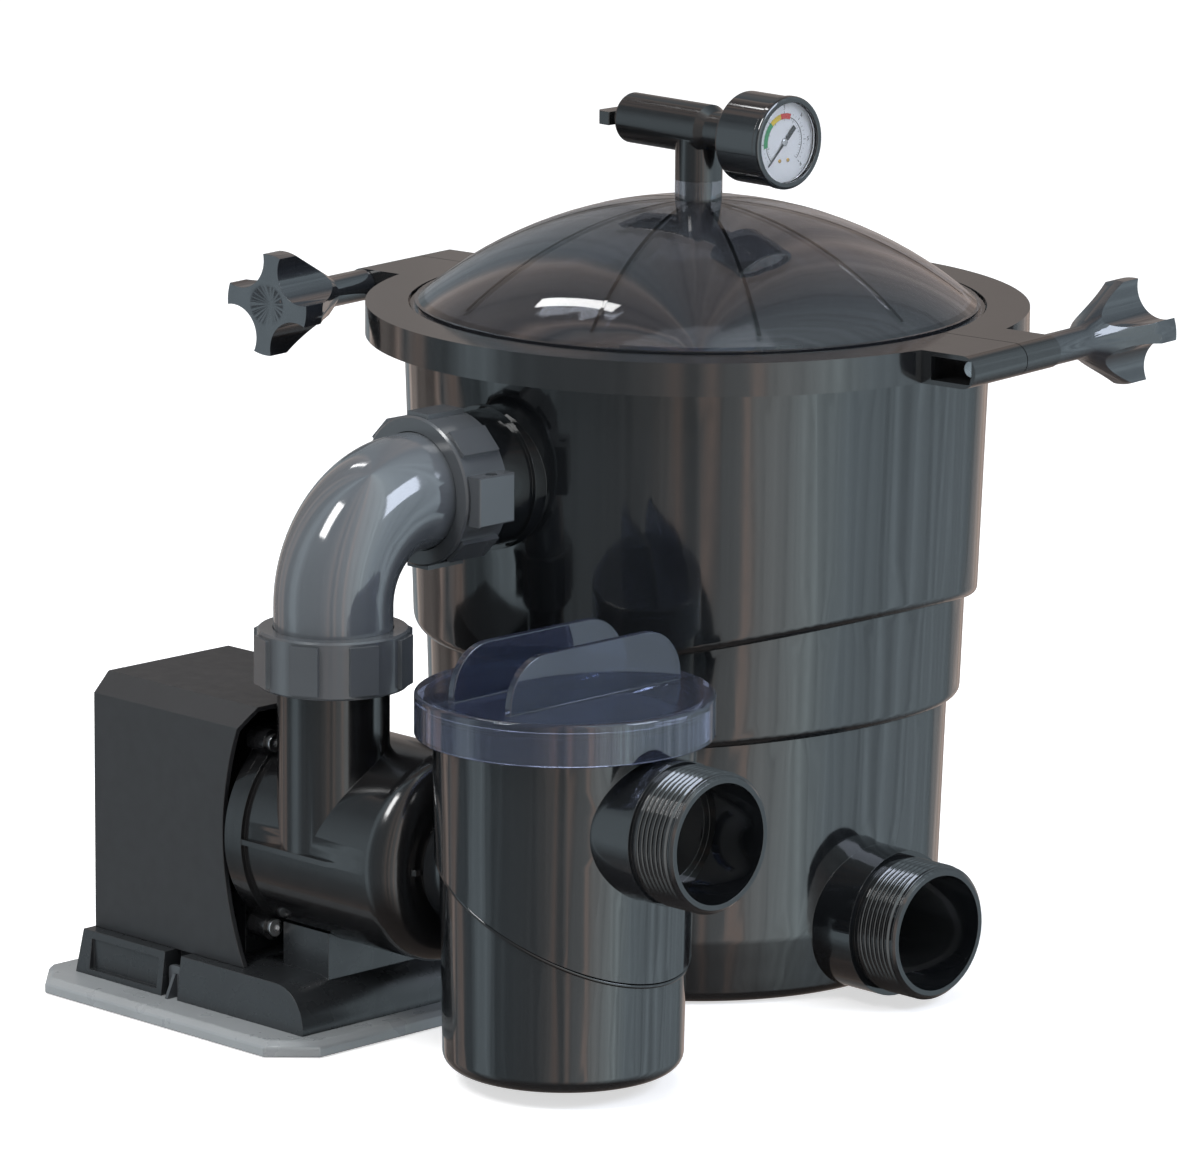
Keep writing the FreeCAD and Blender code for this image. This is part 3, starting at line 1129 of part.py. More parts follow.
motor = on_shaft("motor_housing", plate_place)
hub_outer = bearing_radius + motor_wall
motor_inside = motor_radius - motor_wall
hub_end = motor_wall + bearing_width
turned(motor, [(0, -motor_length), (motor_radius, -motor_length), (motor_radius, 0), (0, 0)])
turned(motor, [
    (0, -motor_length + hub_end), (hub_outer, -motor_length + hub_end),
    (hub_outer, -motor_length + motor_wall), (motor_inside, -motor_length + motor_wall),
    (motor_inside, -motor_wall), (hub_outer, -motor_wall), (hub_outer, -hub_end), (0, -hub_end)],
    "Groove")
turned(motor, [
    (0, -motor_length + motor_wall), (bearing_radius, -motor_length + motor_wall),
    (bearing_radius, -motor_wall), (0, -motor_wall)], "Groove")
turned(motor, [
    (0, -motor_length - 1), (shaft_radius + 1, -motor_length - 1), (shaft_radius + 1, 1),
    (0, 1)], "Groove")

stator_start = -motor_length + hub_end + 8
stator_length = motor_length - hub_end * 2 - 16
stator = on_shaft("motor_stator", plate_place + stator_start)
turned(stator, [(stator_radius, 0), (motor_inside, 0), (motor_inside, stator_length),
                (stator_radius, stator_length)])
winding_inside = stator_radius + 2
winding_outside = motor_inside - 3
for name, start in (("rear", stator_start - 6), ("front", stator_start + stator_length)):
    winding = on_shaft(f"motor_winding_{name}", plate_place + start)
    turned(winding, [(winding_inside, 0), (winding_outside, 0), (winding_outside, 6), (winding_inside, 6)])
    rounded(winding, 2.0, lambda edge: True)
rotor_core = on_shaft("rotor_core", plate_place + stator_start)
turned(rotor_core, [(shaft_radius, 0), (stator_radius - rotor_gap, 0),
                    (stator_radius - rotor_gap, stator_length), (shaft_radius, stator_length)])
for name, start in (("rear", motor_wall - motor_length), ("front", -hub_end)):
    bearing = on_shaft(f"motor_bearing_{name}", plate_place + start)
    turned(bearing, [(shaft_radius + shaft_gap, 0), (bearing_radius, 0), (bearing_radius, bearing_width),
                     (shaft_radius + shaft_gap, bearing_width)])
fan_place = -motor_length - 7.5
shaft = on_shaft("motor_shaft", plate_place)
shaft_front = impeller_place + hub_length - plate_place
turned(shaft, [(0, fan_place - 1.5), (shaft_radius, fan_place - 1.5), (shaft_radius, shaft_front),
               (0, shaft_front)])
fan = on_shaft("cooling_fan", plate_place + fan_place)
turned(fan, [(shaft_radius, -1), (shaft_radius * 2, -1), (shaft_radius * 2, 6), (shaft_radius, 6)])
blade = new_sketch(fan, "XY_Plane", 0)
outline(blade, [(shaft_radius * 1.8, -1), (fan_radius, -1), (fan_radius, 1), (shaft_radius * 1.8, 1)])
blade_pad = drawn(fan, blade, 5)
patterned(fan, [blade_pad], Size.of(7))

# Motor cover: a bevelled box, open below and towards the pump
cover = new_body("motor_cover", stood(cover_left, -pump_side, 0))
bind_spot(cover, cover_left, -pump_side, 0)


def cover_outline(inset, bottom):
    """End view of the cover, inset by a wall."""
    side = cover_half_width - inset
    top = cover_top - inset
    bevel = cover_bevel - inset * 0.4
    return [(-side, bottom), (side, bottom), (side, top - bevel), (side - bevel, top),
            (bevel - side, top), (-side, top - bevel)]


cover_end = new_sketch(cover, "YZ_Plane")
outline(cover_end, cover_outline(Size.of(0.0), foot_top))
drawn(cover, cover_end, cover_length)
cover_hollow = new_sketch(cover, "YZ_Plane", cover_wall)
outline(cover_hollow, cover_outline(cover_wall, foot_top - 1))
drawn(cover, cover_hollow, cover_length, "Pocket", backwards=True)
half_height = (cover_top - foot_top) / 2
bow_centre = cover_length + root(cover_bow * cover_bow - half_height * half_height)
cover_arc = new_sketch(cover, "XZ_Plane")
circle(cover_arc, bow_centre, foot_top + half_height, cover_bow)
drawn(cover, cover_arc, kind="Pocket", midplane=True)

# Strainer pot
pot = new_body("strainer_pot", stood(pot_centre, -pump_side, 0))
bind_spot(pot, pot_centre, -pump_side, 0)
rim_low = pot_rim_height - pot_rim_drop
pot_draft = (pot_top_radius - pot_step - pot_low_radius) / (rim_low - pot_bottom)


def pot_radius(height, steps):
    """Outer radius of the pot at a height."""
    return pot_top_radius - pot_draft * (rim_low - height) - pot_step * steps


pot_lowest = pot_slope_mid - pot_slope_rise - 12
turned(pot, [(0, pot_lowest), (pot_radius(pot_lowest, 0), pot_lowest), (pot_top_radius, rim_low),
             (0, rim_low)])
slope = new_sketch(pot, "XZ_Plane", turn=pot_slope_turn)
slope_reach = pot_top_radius * 1.3
slope_span = pot_slope_rise * 1.3
outline(slope, [(-slope_reach, 0), (slope_reach, 0), (slope_reach, pot_slope_mid - slope_span),
                (-slope_reach, pot_slope_mid + slope_span)])
drawn(pot, slope, kind="Pocket", midplane=True)
turned(pot, [(0, pot_bottom), (pot_low_radius, pot_bottom), (pot_radius(rim_low, 1), rim_low),
             (0, rim_low)])
rounded(pot, pot_round, at_height(pot_bottom - 0.1, pot_bottom + 0.1))
turned(pot, [(0, rim_low), (pot_rim_radius, rim_low), (pot_rim_radius, pot_rim_height), (0, pot_rim_height)])
suction = new_sketch(pot, "YZ_Plane", 0)
circle(suction, 0, suction_height, port_root_radius)
drawn(pot, suction, suction_reach)
rounded(pot, port_bevel, lambda edge: edge.BoundBox.XMin > float(suction_reach) - 0.1, "Chamfer")
suction_collar = new_sketch(pot, "YZ_Plane", 0)
circle(suction_collar, 0, suction_height, port_root_radius + 2)
drawn(pot, suction_collar, suction_reach - port_thread_length - 2)
eye_boss = new_sketch(pot, "YZ_Plane", pot_near - pot_centre)
circle(eye_boss, 0, pump_height, neck_radius + 2)
drawn(pot, eye_boss, 30)
inside_top = pot_radius(rim_low, 1) - pot_wall - 2
inside_low = pot_low_radius - pot_wall
ledge = pot_rim_height - pot_rim_drop + 3
turned(pot, [(0, pot_bottom + pot_wall), (inside_low, pot_bottom + pot_wall), (inside_top, ledge),
             (inside_top + 4, ledge), (inside_top + 4, pot_rim_height + 1), (0, pot_rim_height + 1)],
       "Groove")
suction_bore = new_sketch(pot, "YZ_Plane", suction_reach * 0.66)
circle(suction_bore, 0, suction_height, port_bore_radius)
drawn(pot, suction_bore, suction_reach, "Pocket", backwards=True)
suction_throat = new_sketch(pot, "YZ_Plane", 20)
circle(suction_throat, 0, suction_height, port_bore_radius - 4)
drawn(pot, suction_throat, suction_reach, "Pocket", backwards=True)
eye_bore = new_sketch(pot, "YZ_Plane", -20)
circle(eye_bore, 0, pump_height, eye_radius)
drawn(pot, eye_bore, pot_top_radius, "Pocket")

basket = new_body("strainer_basket", stood(pot_centre, -pump_side, 0))
bind_spot(basket, pot_centre, -pump_side, 0)
basket_lip = inside_top + 4 - part_gap
turned(basket, [
    (0, basket_bottom), (basket_radius - 6, basket_bottom), (basket_radius, ledge),
    (basket_lip, ledge), (basket_lip, ledge + basket_wall), (basket_radius - basket_wall, ledge + basket_wall),
    (basket_radius - 6 - basket_wall, basket_bottom + basket_wall), (0, basket_bottom + basket_wall)])
basket_slots = new_sketch(basket, "XZ_Plane")
slot_half = basket_slot_width / 2
slot_rows = 2
row_height = (ledge - basket_bottom) / slot_rows
for row in range(slot_rows):
    low = basket_bottom + row_height * (row + 0.2)
    high = basket_bottom + row_height * (row + 0.8)
    outline(basket_slots, [(-slot_half, low), (slot_half, low), (slot_half, high), (-slot_half, high)])
slot_cut = drawn(basket, basket_slots, basket_radius + 5, "Pocket", backwards=False)
patterned(basket, [slot_cut], basket_slot_count)

# Pot lid with its seal and two grip fins
pot_seal_height = pot_rim_height + part_gap
pot_seal = ring_seal("pot_lid_o_ring", pot_rim_radius - pot_seal_thick, pot_seal_thick,
                     stood(pot_centre, -pump_side, pot_seal_height))
bind_spot(pot_seal, pot_centre, -pump_side, pot_seal_height)
pot_lid = new_body("pot_lid", stood(pot_centre, -pump_side, pot_lid_top))
bind_spot(pot_lid, pot_centre, -pump_side, pot_lid_top)
lid_under = pot_seal_height + pot_seal_thick + part_gap - pot_lid_top
turned(pot_lid, [
    (0, lid_under), (pot_rim_radius + part_gap, lid_under), (pot_rim_radius + part_gap, -pot_lid_skirt),
    (pot_lid_radius, -pot_lid_skirt), (pot_lid_radius, -1.2), (pot_lid_radius - 1.2, 0), (0, 0)])
fin_half = fin_length / 2
for side in (1, -1):
    fin = new_sketch(pot_lid, "YZ_Plane", fin_spread * side - fin_thick / 2)
    outline(fin, [
        (-fin_half, lid_under / 2), (fin_half, lid_under / 2),
        (fin_half, fin_height - fin_round, fin_round, 1), (fin_half - fin_round, fin_height),
        (fin_round - fin_half, fin_height, fin_round, 1), (-fin_half, fin_height - fin_round)])
    drawn(pot_lid, fin, fin_thick)

# Base plate, foot and clip
base = new_body("base_plate", stood(0, -pump_side, 0))
bind_spot(base, 0, -pump_side, 0)
base_outline = new_sketch(base, "XY_Plane")
outline(base_outline, [
    (base_left + base_corner, -base_half_width), (base_right - base_corner, -base_half_width),
    (base_right, base_corner - base_half_width), (base_right, base_half_width - base_corner),
    (base_right - base_corner, base_half_width), (base_left + base_corner, base_half_width),
    (base_left, base_half_width - base_corner), (base_left, base_corner - base_half_width)])
drawn(base, base_outline, base_thick)
rounded(base, base_bevel, at_height(base_thick - 0.1, base_thick + 0.1), "Chamfer")

foot = new_body("pump_foot", stood(0, -pump_side, 0))
bind_spot(foot, 0, -pump_side, 0)
foot_side = new_sketch(foot, "XZ_Plane")
hump_round = foot_top - base_thick + 1
outline(foot_side, [
    (foot_left, base_thick), (foot_right, base_thick, hump_round, 1),
    (foot_right - hump_round, foot_top), (foot_left + foot_batter, foot_top)])
drawn(foot, foot_side, foot_half_width * 2, midplane=True)
for side in (1, -1):
    batter = new_sketch(foot, "YZ_Plane")
    edge = foot_half_width * side
    outline(batter, [(edge, base_thick), (edge + side, base_thick), (edge + side, foot_top + 1),
                     (edge - foot_batter * side, foot_top + 1)])
    drawn(foot, batter, kind="Pocket", midplane=True)
panel = new_sketch(foot, "XZ_Plane", foot_half_width)
outline(panel, [
    (foot_left + 10, base_thick + 3), (foot_slot_left - 4, base_thick + 3),
    (foot_slot_left - 4, foot_top - 4), (foot_left + 10, foot_top - 4)])
drawn(foot, panel, foot_batter + 0.6, "Pocket")


def saddle(start, end, top, cut_radius):
    """Cradle on the foot, hollowed to the round of what it carries."""
    rise = new_sketch(foot, "XZ_Plane")
    outline(rise, [(start, base_thick + 2), (end, base_thick + 2), (end, top), (start, top)])
    drawn(foot, rise, foot_half_width, midplane=True)
    hollow = new_sketch(foot, "YZ_Plane", start - 1)
    circle(hollow, 0, pump_height, cut_radius)
    drawn(foot, hollow, end - start + 2, "Pocket", backwards=True)


motor_rear = plate_place - motor_length
for place in (motor_rear + 10, plate_place - 22):
    saddle(place, place + 10, pump_height - motor_radius * 0.8, motor_radius)
saddle(volute_back + volute_flange + 4, foot_right - 14, pump_height - volute_radius * 0.84, volute_radius)
slot = new_sketch(foot, "XY_Plane", base_thick - 1)
outline(slot, [
    (foot_slot_left, -foot_half_width - 1), (foot_slot_left + foot_slot_width, -foot_half_width - 1),
    (foot_slot_left + foot_slot_width, foot_slot_depth - foot_half_width),
    (foot_slot_left, foot_slot_depth - foot_half_width)])
drawn(foot, slot, foot_top, "Pocket", backwards=True)

clip_side = foot_slot_depth / 2 - foot_half_width - pump_side
clip_middle = foot_slot_left + foot_slot_width / 2
clip = new_body("base_clip", stood(clip_middle, clip_side, base_thick))
bind_spot(clip, clip_middle, clip_side, base_thick)
clip_tab = new_sketch(clip, "XZ_Plane")
half_tab = clip_width / 2
outline(clip_tab, [
    (-half_tab, 0), (half_tab, 0), (half_tab, clip_height - half_tab / 2, half_tab / 2, 1),
    (half_tab / 2, clip_height), (-half_tab / 2, clip_height, half_tab / 2, 1),
    (-half_tab, clip_height - half_tab / 2)])
drawn(clip, clip_tab, 2.4)
clip_gusset = new_sketch(clip, "YZ_Plane")
outline(clip_gusset, [(-9, 0), (-2, 0), (-2, clip_height - 4), (-3.4, clip_height - 4)])
drawn(clip, clip_gusset, 2, midplane=True)
clip_hook = new_sketch(clip, "YZ_Plane", half_tab - 3)
outline(clip_hook, [(-2, clip_height - 6), (3, clip_height - 6), (3, clip_height - 4), (-2, clip_height - 1)])
drawn(clip, clip_hook, 3)


# Every feature must have built, and every sub-part must be one or more sound solids
document.recompute()
faults = [item.Label for item in document.Objects
          if "Invalid" in item.State or "Error" in item.State]
if faults:
    raise RuntimeError("These did not build: " + ", ".join(faults))
os.makedirs("parts", exist_ok=True)
for item in document.Objects:
    if item.TypeId == "PartDesign::Body" or item.TypeId == "Part::Feature":
        if item.Shape.isNull() or not item.Shape.isValid() or not item.Shape.Solids:
            raise RuntimeError(f"{item.Label} has no sound solid")
        item.Shape.exportStep(f"parts/{item.Label}.step")
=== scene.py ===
"""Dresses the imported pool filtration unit: smooth skins, threads, dial, finishes and studio."""
import json
import logging
import math
from collections.abc import Sequence
from dataclasses import dataclass, field
from enum import Enum

import bmesh
import bpy
import numpy as np
from mathutils import Matrix, Vector

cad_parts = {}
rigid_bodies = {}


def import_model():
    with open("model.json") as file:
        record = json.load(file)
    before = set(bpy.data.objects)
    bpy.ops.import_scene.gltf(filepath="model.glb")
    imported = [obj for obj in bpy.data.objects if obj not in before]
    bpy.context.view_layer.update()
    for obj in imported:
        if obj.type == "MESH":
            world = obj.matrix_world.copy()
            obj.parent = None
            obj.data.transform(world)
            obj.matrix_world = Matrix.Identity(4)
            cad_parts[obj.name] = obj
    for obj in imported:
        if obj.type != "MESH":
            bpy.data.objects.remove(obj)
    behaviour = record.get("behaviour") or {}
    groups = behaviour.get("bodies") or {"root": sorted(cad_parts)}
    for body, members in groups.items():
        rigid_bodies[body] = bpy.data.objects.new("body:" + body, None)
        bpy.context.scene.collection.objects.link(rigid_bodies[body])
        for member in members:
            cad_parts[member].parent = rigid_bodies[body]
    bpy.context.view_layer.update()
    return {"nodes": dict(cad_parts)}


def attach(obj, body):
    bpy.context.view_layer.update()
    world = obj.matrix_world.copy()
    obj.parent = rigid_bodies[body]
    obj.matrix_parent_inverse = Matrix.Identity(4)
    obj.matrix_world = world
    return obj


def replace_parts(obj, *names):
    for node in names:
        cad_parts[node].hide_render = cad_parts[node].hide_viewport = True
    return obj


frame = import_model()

LOG = logging.getLogger("filtration_unit")
MM = 0.001
MERGE_M = 2e-6
TINY_EDGE_M = 1e-6
FLAT_DEG = 0.6


# Colours and nodes


def linear(code: str) -> tuple[float, float, float, float]:
    """Turns an sRGB hex colour into a linear one.

    Args:
        code: six hex digits with a leading hash.

    Returns:
        Red, green, blue and an alpha of 1, each linear.
    """
    parts = [int(code[place:place + 2], 16) / 255 for place in (1, 3, 5)]
    red, green, blue = (p / 12.92 if p <= 0.04045 else ((p + 0.055) / 1.055) ** 2.4 for p in parts)
    return red, green, blue, 1.0


def add_node(tree: bpy.types.NodeTree, kind: str, settings: dict[str, object] | None = None,
             links: dict[str | int, object] | None = None) -> bpy.types.Node:
    """Adds a node with its settings, socket values and links.

    Args:
        tree: node tree that the node goes into.
        kind: node type.
        settings: node properties by name.
        links: socket values, or other nodes' outputs, by input name or number.

    Returns:
        The new node.
    """
    node = tree.nodes.new(kind)
    for name, value in (settings or {}).items():
        setattr(node, name, value)
    for name, value in (links or {}).items():
        if isinstance(value, bpy.types.NodeSocket):
            tree.links.new(value, node.inputs[name])
        else:
            node.inputs[name].default_value = value
    return node


def ramp(node: bpy.types.Node, stops: Sequence[tuple[float, tuple[float, ...]]]) -> bpy.types.Node:
    """Sets a colour ramp's stops.

    Args:
        node: the colour ramp node.
        stops: place and colour of each stop.

    Returns:
        The same node.
    """
    elements = node.color_ramp.elements
    while len(elements) > 1:
        elements.remove(elements[-1])
    elements[0].position, elements[0].color = stops[0]
    for place, colour in stops[1:]:
        elements.new(place).color = colour
    return node


@dataclass(frozen=True)
class Finish:
    """A surface: what it is made of and how it was made.

    The colour drifts by a broad noise, the roughness by a finer one, and a bump at the
    grain's real size lies over it.
    """

    name: str
    colour: str
    roughness: float
    ior: float = 1.5
    metallic: float = 0.0
    transmission: float = 0.0
    coat: float = 0.0
    drift: float = 0.08
    drift_mm: float = 60.0
    rough_drift: float = 0.04
    grain_mm: float = 0.8
    grain_depth_mm: float = 0.01
    stretch: tuple[float, float, float] = (1.0, 1.0, 1.0)

    def make(self) -> bpy.types.Material:
        """Builds the material once.

        Returns:
            The material, or the one already made under this name.
        """
        known = bpy.data.materials.get(self.name)
        if known:
            return known
        material = bpy.data.materials.new(self.name)
        material.use_nodes = True
        tree = material.node_tree
        tree.nodes.clear()
        place = add_node(tree, "ShaderNodeTexCoord").outputs["Object"]
        spun = add_node(tree, "ShaderNodeMapping", links={"Vector": place, "Scale": self.stretch})
        broad = add_node(tree, "ShaderNodeTexNoise", links={
            "Vector": spun.outputs[0], "Scale": 1 / (self.drift_mm * MM), "Detail": 3.0})
        base = linear(self.colour)
        dark = tuple(c * (1 - self.drift) for c in base[:3]) + (1.0,)
        light = tuple(min(c * (1 + self.drift), 1.0) for c in base[:3]) + (1.0,)
        tone = ramp(add_node(tree, "ShaderNodeValToRGB", links={"Fac": broad.outputs["Fac"]}),
                    [(0.3, dark), (0.7, light)])
        fine = add_node(tree, "ShaderNodeTexNoise", links={
            "Vector": spun.outputs[0], "Scale": 1 / (self.drift_mm * 0.2 * MM), "Detail": 4.0})
        rough = add_node(tree, "ShaderNodeMapRange", links={
            "Value": fine.outputs["Fac"], "From Min": 0.3, "From Max": 0.7,
            "To Min": max(self.roughness - self.rough_drift, 0.02),
            "To Max": self.roughness + self.rough_drift})
        grain = add_node(tree, "ShaderNodeTexNoise", links={
            "Vector": spun.outputs[0], "Scale": 1 / (self.grain_mm * MM), "Detail": 2.0})
        bump = add_node(tree, "ShaderNodeBump", links={
            "Height": grain.outputs["Fac"], "Strength": 0.5, "Distance": self.grain_depth_mm * MM})
        shader = add_node(tree, "ShaderNodeBsdfPrincipled", links={
            "Base Color": tone.outputs["Color"], "Roughness": rough.outputs["Result"],
            "Normal": bump.outputs["Normal"], "Metallic": self.metallic,
            "Transmission Weight": self.transmission, "Coat Weight": self.coat,
            "Coat Roughness": 0.05})
        if self.metallic < 0.5:
            shader.inputs["IOR"].default_value = self.ior
        add_node(tree, "ShaderNodeOutputMaterial", links={"Surface": shader.outputs[0]})
        return material


# Black glass-filled polypropylene, moulded glossy: dark, mirror-like, faintly wavy
TANK_BLACK = Finish("gloss_black_polypropylene", "#17191b", 0.09, coat=0.3, grain_mm=14.0,
                    grain_depth_mm=0.02)
# The same plastic from a duller mould: softer edges to every reflection
CLAMP_BLACK = Finish("satin_black_polypropylene", "#1c1d1e", 0.11, coat=0.2, grain_mm=1.5,
                     grain_depth_mm=0.004)
PUMP_BLACK = Finish("moulded_black_nylon", "#141415", 0.16, coat=0.2, grain_mm=6.0, grain_depth_mm=0.01)
KNOB_BLACK = Finish("moulded_knob_nylon", "#25282c", 0.1, coat=0.5, grain_mm=1.5, grain_depth_mm=0.004)
# Clear plastic tinted smoky blue: it darkens what lies behind and mirrors the lamps
DOME_SMOKE = Finish("smoked_polycarbonate", "#7d8189", 0.03, ior=1.58, transmission=0.94, drift=0.02,
                    rough_drift=0.01, grain_mm=30.0, grain_depth_mm=0.004)
POT_SMOKE = Finish("tinted_polycarbonate", "#77819c", 0.03, ior=1.58, transmission=0.93, drift=0.02,
                   rough_drift=0.01, grain_mm=20.0, grain_depth_mm=0.004)
# Extruded grey PVC pipe: clean gloss with a soft, slightly milky body colour
PIPE_GREY = Finish("glossy_grey_pvc", "#53575b", 0.1, ior=1.53, coat=0.4, grain_mm=9.0, grain_depth_mm=0.008)
NUT_GREY = Finish("satin_grey_pvc", "#46494c", 0.2, ior=1.53, grain_mm=1.2, grain_depth_mm=0.006)
# Spark-eroded cover: an even fine grain that takes the gloss off
COVER_GREY = Finish("textured_grey_abs", "#222325", 0.5, ior=1.53, drift=0.05, drift_mm=40.0,
                    rough_drift=0.05, grain_mm=0.9, grain_depth_mm=0.04)
BASE_GREY = Finish("light_grey_abs", "#8f9395", 0.3, ior=1.53, grain_mm=1.0, grain_depth_mm=0.012)
FOOT_BLACK = Finish("moulded_charcoal_nylon", "#27292b", 0.28, grain_mm=1.0, grain_depth_mm=0.01)
BRASS = Finish("turned_brass", "#c9a04a", 0.22, metallic=1.0, grain_mm=0.4, grain_depth_mm=0.004)
STEEL = Finish("zinc_plated_steel", "#b9bbbd", 0.28, metallic=1.0, grain_mm=0.5, grain_depth_mm=0.004)
# Painted shade: a near-black finish for the dark lines over the dome's ribs and the dark corner under the
# pot's step
PAINTED_SHADE_BLACK = Finish("painted_shade_black", "#0c0d0f", 0.05, ior=1.58, drift=0.02, grain_mm=10.0,
                   grain_depth_mm=0.004)
RUBBER = Finish("moulded_epdm_rubber", "#0d0d0d", 0.6, grain_mm=0.5, grain_depth_mm=0.02)
GAUGE_BLACK = Finish("lacquered_black_steel", "#17181a", 0.1, coat=0.5, grain_mm=9.0, grain_depth_mm=0.004)
DIAL_WHITE = Finish("printed_white_aluminium", "#f8f8fa", 0.4, drift=0.02, grain_mm=0.6, grain_depth_mm=0.002)
INK_BLACK = Finish("black_dial_ink", "#141416", 0.5, grain_mm=0.4, grain_depth_mm=0.002)
INK_GREEN = Finish("green_dial_ink", "#12a05a", 0.5, grain_mm=0.4, grain_depth_mm=0.002)
INK_YELLOW = Finish("yellow_dial_ink", "#f3cf1d", 0.5, grain_mm=0.4, grain_depth_mm=0.002)
INK_RED = Finish("red_dial_ink", "#e2281e", 0.5, grain_mm=0.4, grain_depth_mm=0.002)
LENS_CLEAR = Finish("clear_acrylic", "#f4f6f8", 0.02, ior=1.49, transmission=1.0, drift=0.01,
                    rough_drift=0.005, grain_mm=30.0, grain_depth_mm=0.001)
MEDIA_WHITE = Finish("spunbonded_polyester", "#dcdedd", 0.9, grain_mm=0.8, grain_depth_mm=0.08)
CAP_BLUE = Finish("cast_polyurethane", "#27508c", 0.4, grain_mm=1.0, grain_depth_mm=0.01)
CORE_WHITE = Finish("moulded_white_abs", "#cdcecd", 0.35, grain_mm=1.0, grain_depth_mm=0.01)
MOTOR_PAINT = Finish("stove_enamelled_aluminium", "#1c1c1d", 0.35, grain_mm=0.9, grain_depth_mm=0.02)
STACK_STEEL = Finish("laminated_steel_stack", "#5b5c5e", 0.45, metallic=1.0, stretch=(12.0, 1.0, 1.0),
                     grain_mm=4.0, grain_depth_mm=0.03)
COPPER = Finish("enamelled_copper_wire", "#b0602c", 0.3, metallic=1.0, stretch=(1.0, 4.0, 4.0),
                grain_mm=1.5, grain_depth_mm=0.1)
SEAL_FACE = Finish("ground_ceramic", "#55565a", 0.3, grain_mm=0.4, grain_depth_mm=0.002)


# Meshes


def mesh_object(name: str, points: np.ndarray, faces: Sequence[Sequence[int]] | np.ndarray,
                finish: Finish, body: str, smooth: bool = True) -> bpy.types.Object:
    """Makes an object from points in metres and faces, gives it a finish and lets it ride.

    Args:
        name: the object's name.
        points: rows of x, y, z.
        faces: vertex numbers of each face.
        finish: its surface.
        body: the moving body that it rides on.
        smooth: whether its shading is smooth.

    Returns:
        The new object.
    """
    mesh = bpy.data.meshes.new(name)
    mesh.from_pydata(np.asarray(points, dtype=float).tolist(), [], [list(map(int, f)) for f in faces])
    mesh.validate()
    mesh.polygons.foreach_set("use_smooth", np.full(len(mesh.polygons), smooth))
    mesh.materials.append(finish.make())
    item = bpy.data.objects.new(name, mesh)
    bpy.context.scene.collection.objects.link(item)
    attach(item, body)
    return item


def grid_faces(rows: int, columns: int, first: int = 0, wrap: bool = True) -> np.ndarray:
    """Quads between the points of a grid, numbered row by row.

    Args:
        rows: points along the first parameter.
        columns: points along the second parameter.
        first: number of the grid's first point.
        wrap: whether the last column joins the first.

    Returns:
        One row of four vertex numbers for each quad.
    """
    across = columns if wrap else columns - 1
    row, column = np.meshgrid(np.arange(rows - 1), np.arange(across), indexing="ij")
    after = (column + 1) % columns
    quads = np.stack([row * columns + column, row * columns + after,
                      (row + 1) * columns + after, (row + 1) * columns + column], axis=-1)
    return quads.reshape(-1, 4) + first


def outward(item: bpy.types.Object) -> bpy.types.Object:
    """Turns a closed mesh's faces outwards.

    Args:
        item: object with a closed mesh.

    Returns:
        The same object.
    """
    work = bmesh.new()
    work.from_mesh(item.data)
    bmesh.ops.remove_doubles(work, verts=work.verts, dist=1e-7)
    bmesh.ops.recalc_face_normals(work, faces=work.faces)
    work.to_mesh(item.data)
    work.free()
    return item


def skin_of(node: str, finish: Finish, body: str, bevel_mm: float = 0.5, sharp_deg: float = 32.0,
            segments: int = 2) -> bpy.types.Object:
    """Copies a solid's mesh, merges it and rounds its hard edges; the copy stands for the node.

    Args:
        node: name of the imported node.
        finish: surface of the copy.
        body: body that carries the node.
        bevel_mm: radius on each hard edge, none where it is 0.
        sharp_deg: faces that meet at more than this angle keep a hard edge.
        segments: faces across each bevel.

    Returns:
        The smooth copy.
    """
    source = frame["nodes"][node]
    work = bmesh.new()
    work.from_mesh(source.data)
    bmesh.ops.remove_doubles(work, verts=work.verts, dist=MERGE_M)
    bmesh.ops.dissolve_degenerate(work, edges=work.edges, dist=TINY_EDGE_M)
    bmesh.ops.dissolve_limit(work, angle_limit=math.radians(FLAT_DEG), verts=work.verts, edges=work.edges)
    limit = math.radians(sharp_deg)
    for edge in work.edges:
        edge.smooth = edge.calc_face_angle(0.0) < limit
    for face in work.faces:
        face.smooth = True
    mesh = bpy.data.meshes.new(node + "_skin")
    work.to_mesh(mesh)
    work.free()
    mesh.materials.append(finish.make())
    item = bpy.data.objects.new(node + "_skin", mesh)
    bpy.context.scene.collection.objects.link(item)
    if bevel_mm:
        bevel = item.modifiers.new("edges", "BEVEL")
        bevel.width = bevel_mm * MM
        bevel.segments = segments
        bevel.limit_method = "ANGLE"
        bevel.angle_limit = limit
        bevel.harden_normals = True
        bevel.use_clamp_overlap = True
    weigh = item.modifiers.new("shading", "WEIGHTED_NORMAL")
    weigh.keep_sharp = True
    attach(item, body)
    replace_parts(item, node)
    return item


def dress(node: str, finish: Finish) -> None:
    """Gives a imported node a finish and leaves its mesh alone.

    Args:
        node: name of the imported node.
        finish: its surface.
    """
    mesh = frame["nodes"][node].data
    mesh.materials.clear()
    mesh.materials.append(finish.make())


# Sub-assemblies


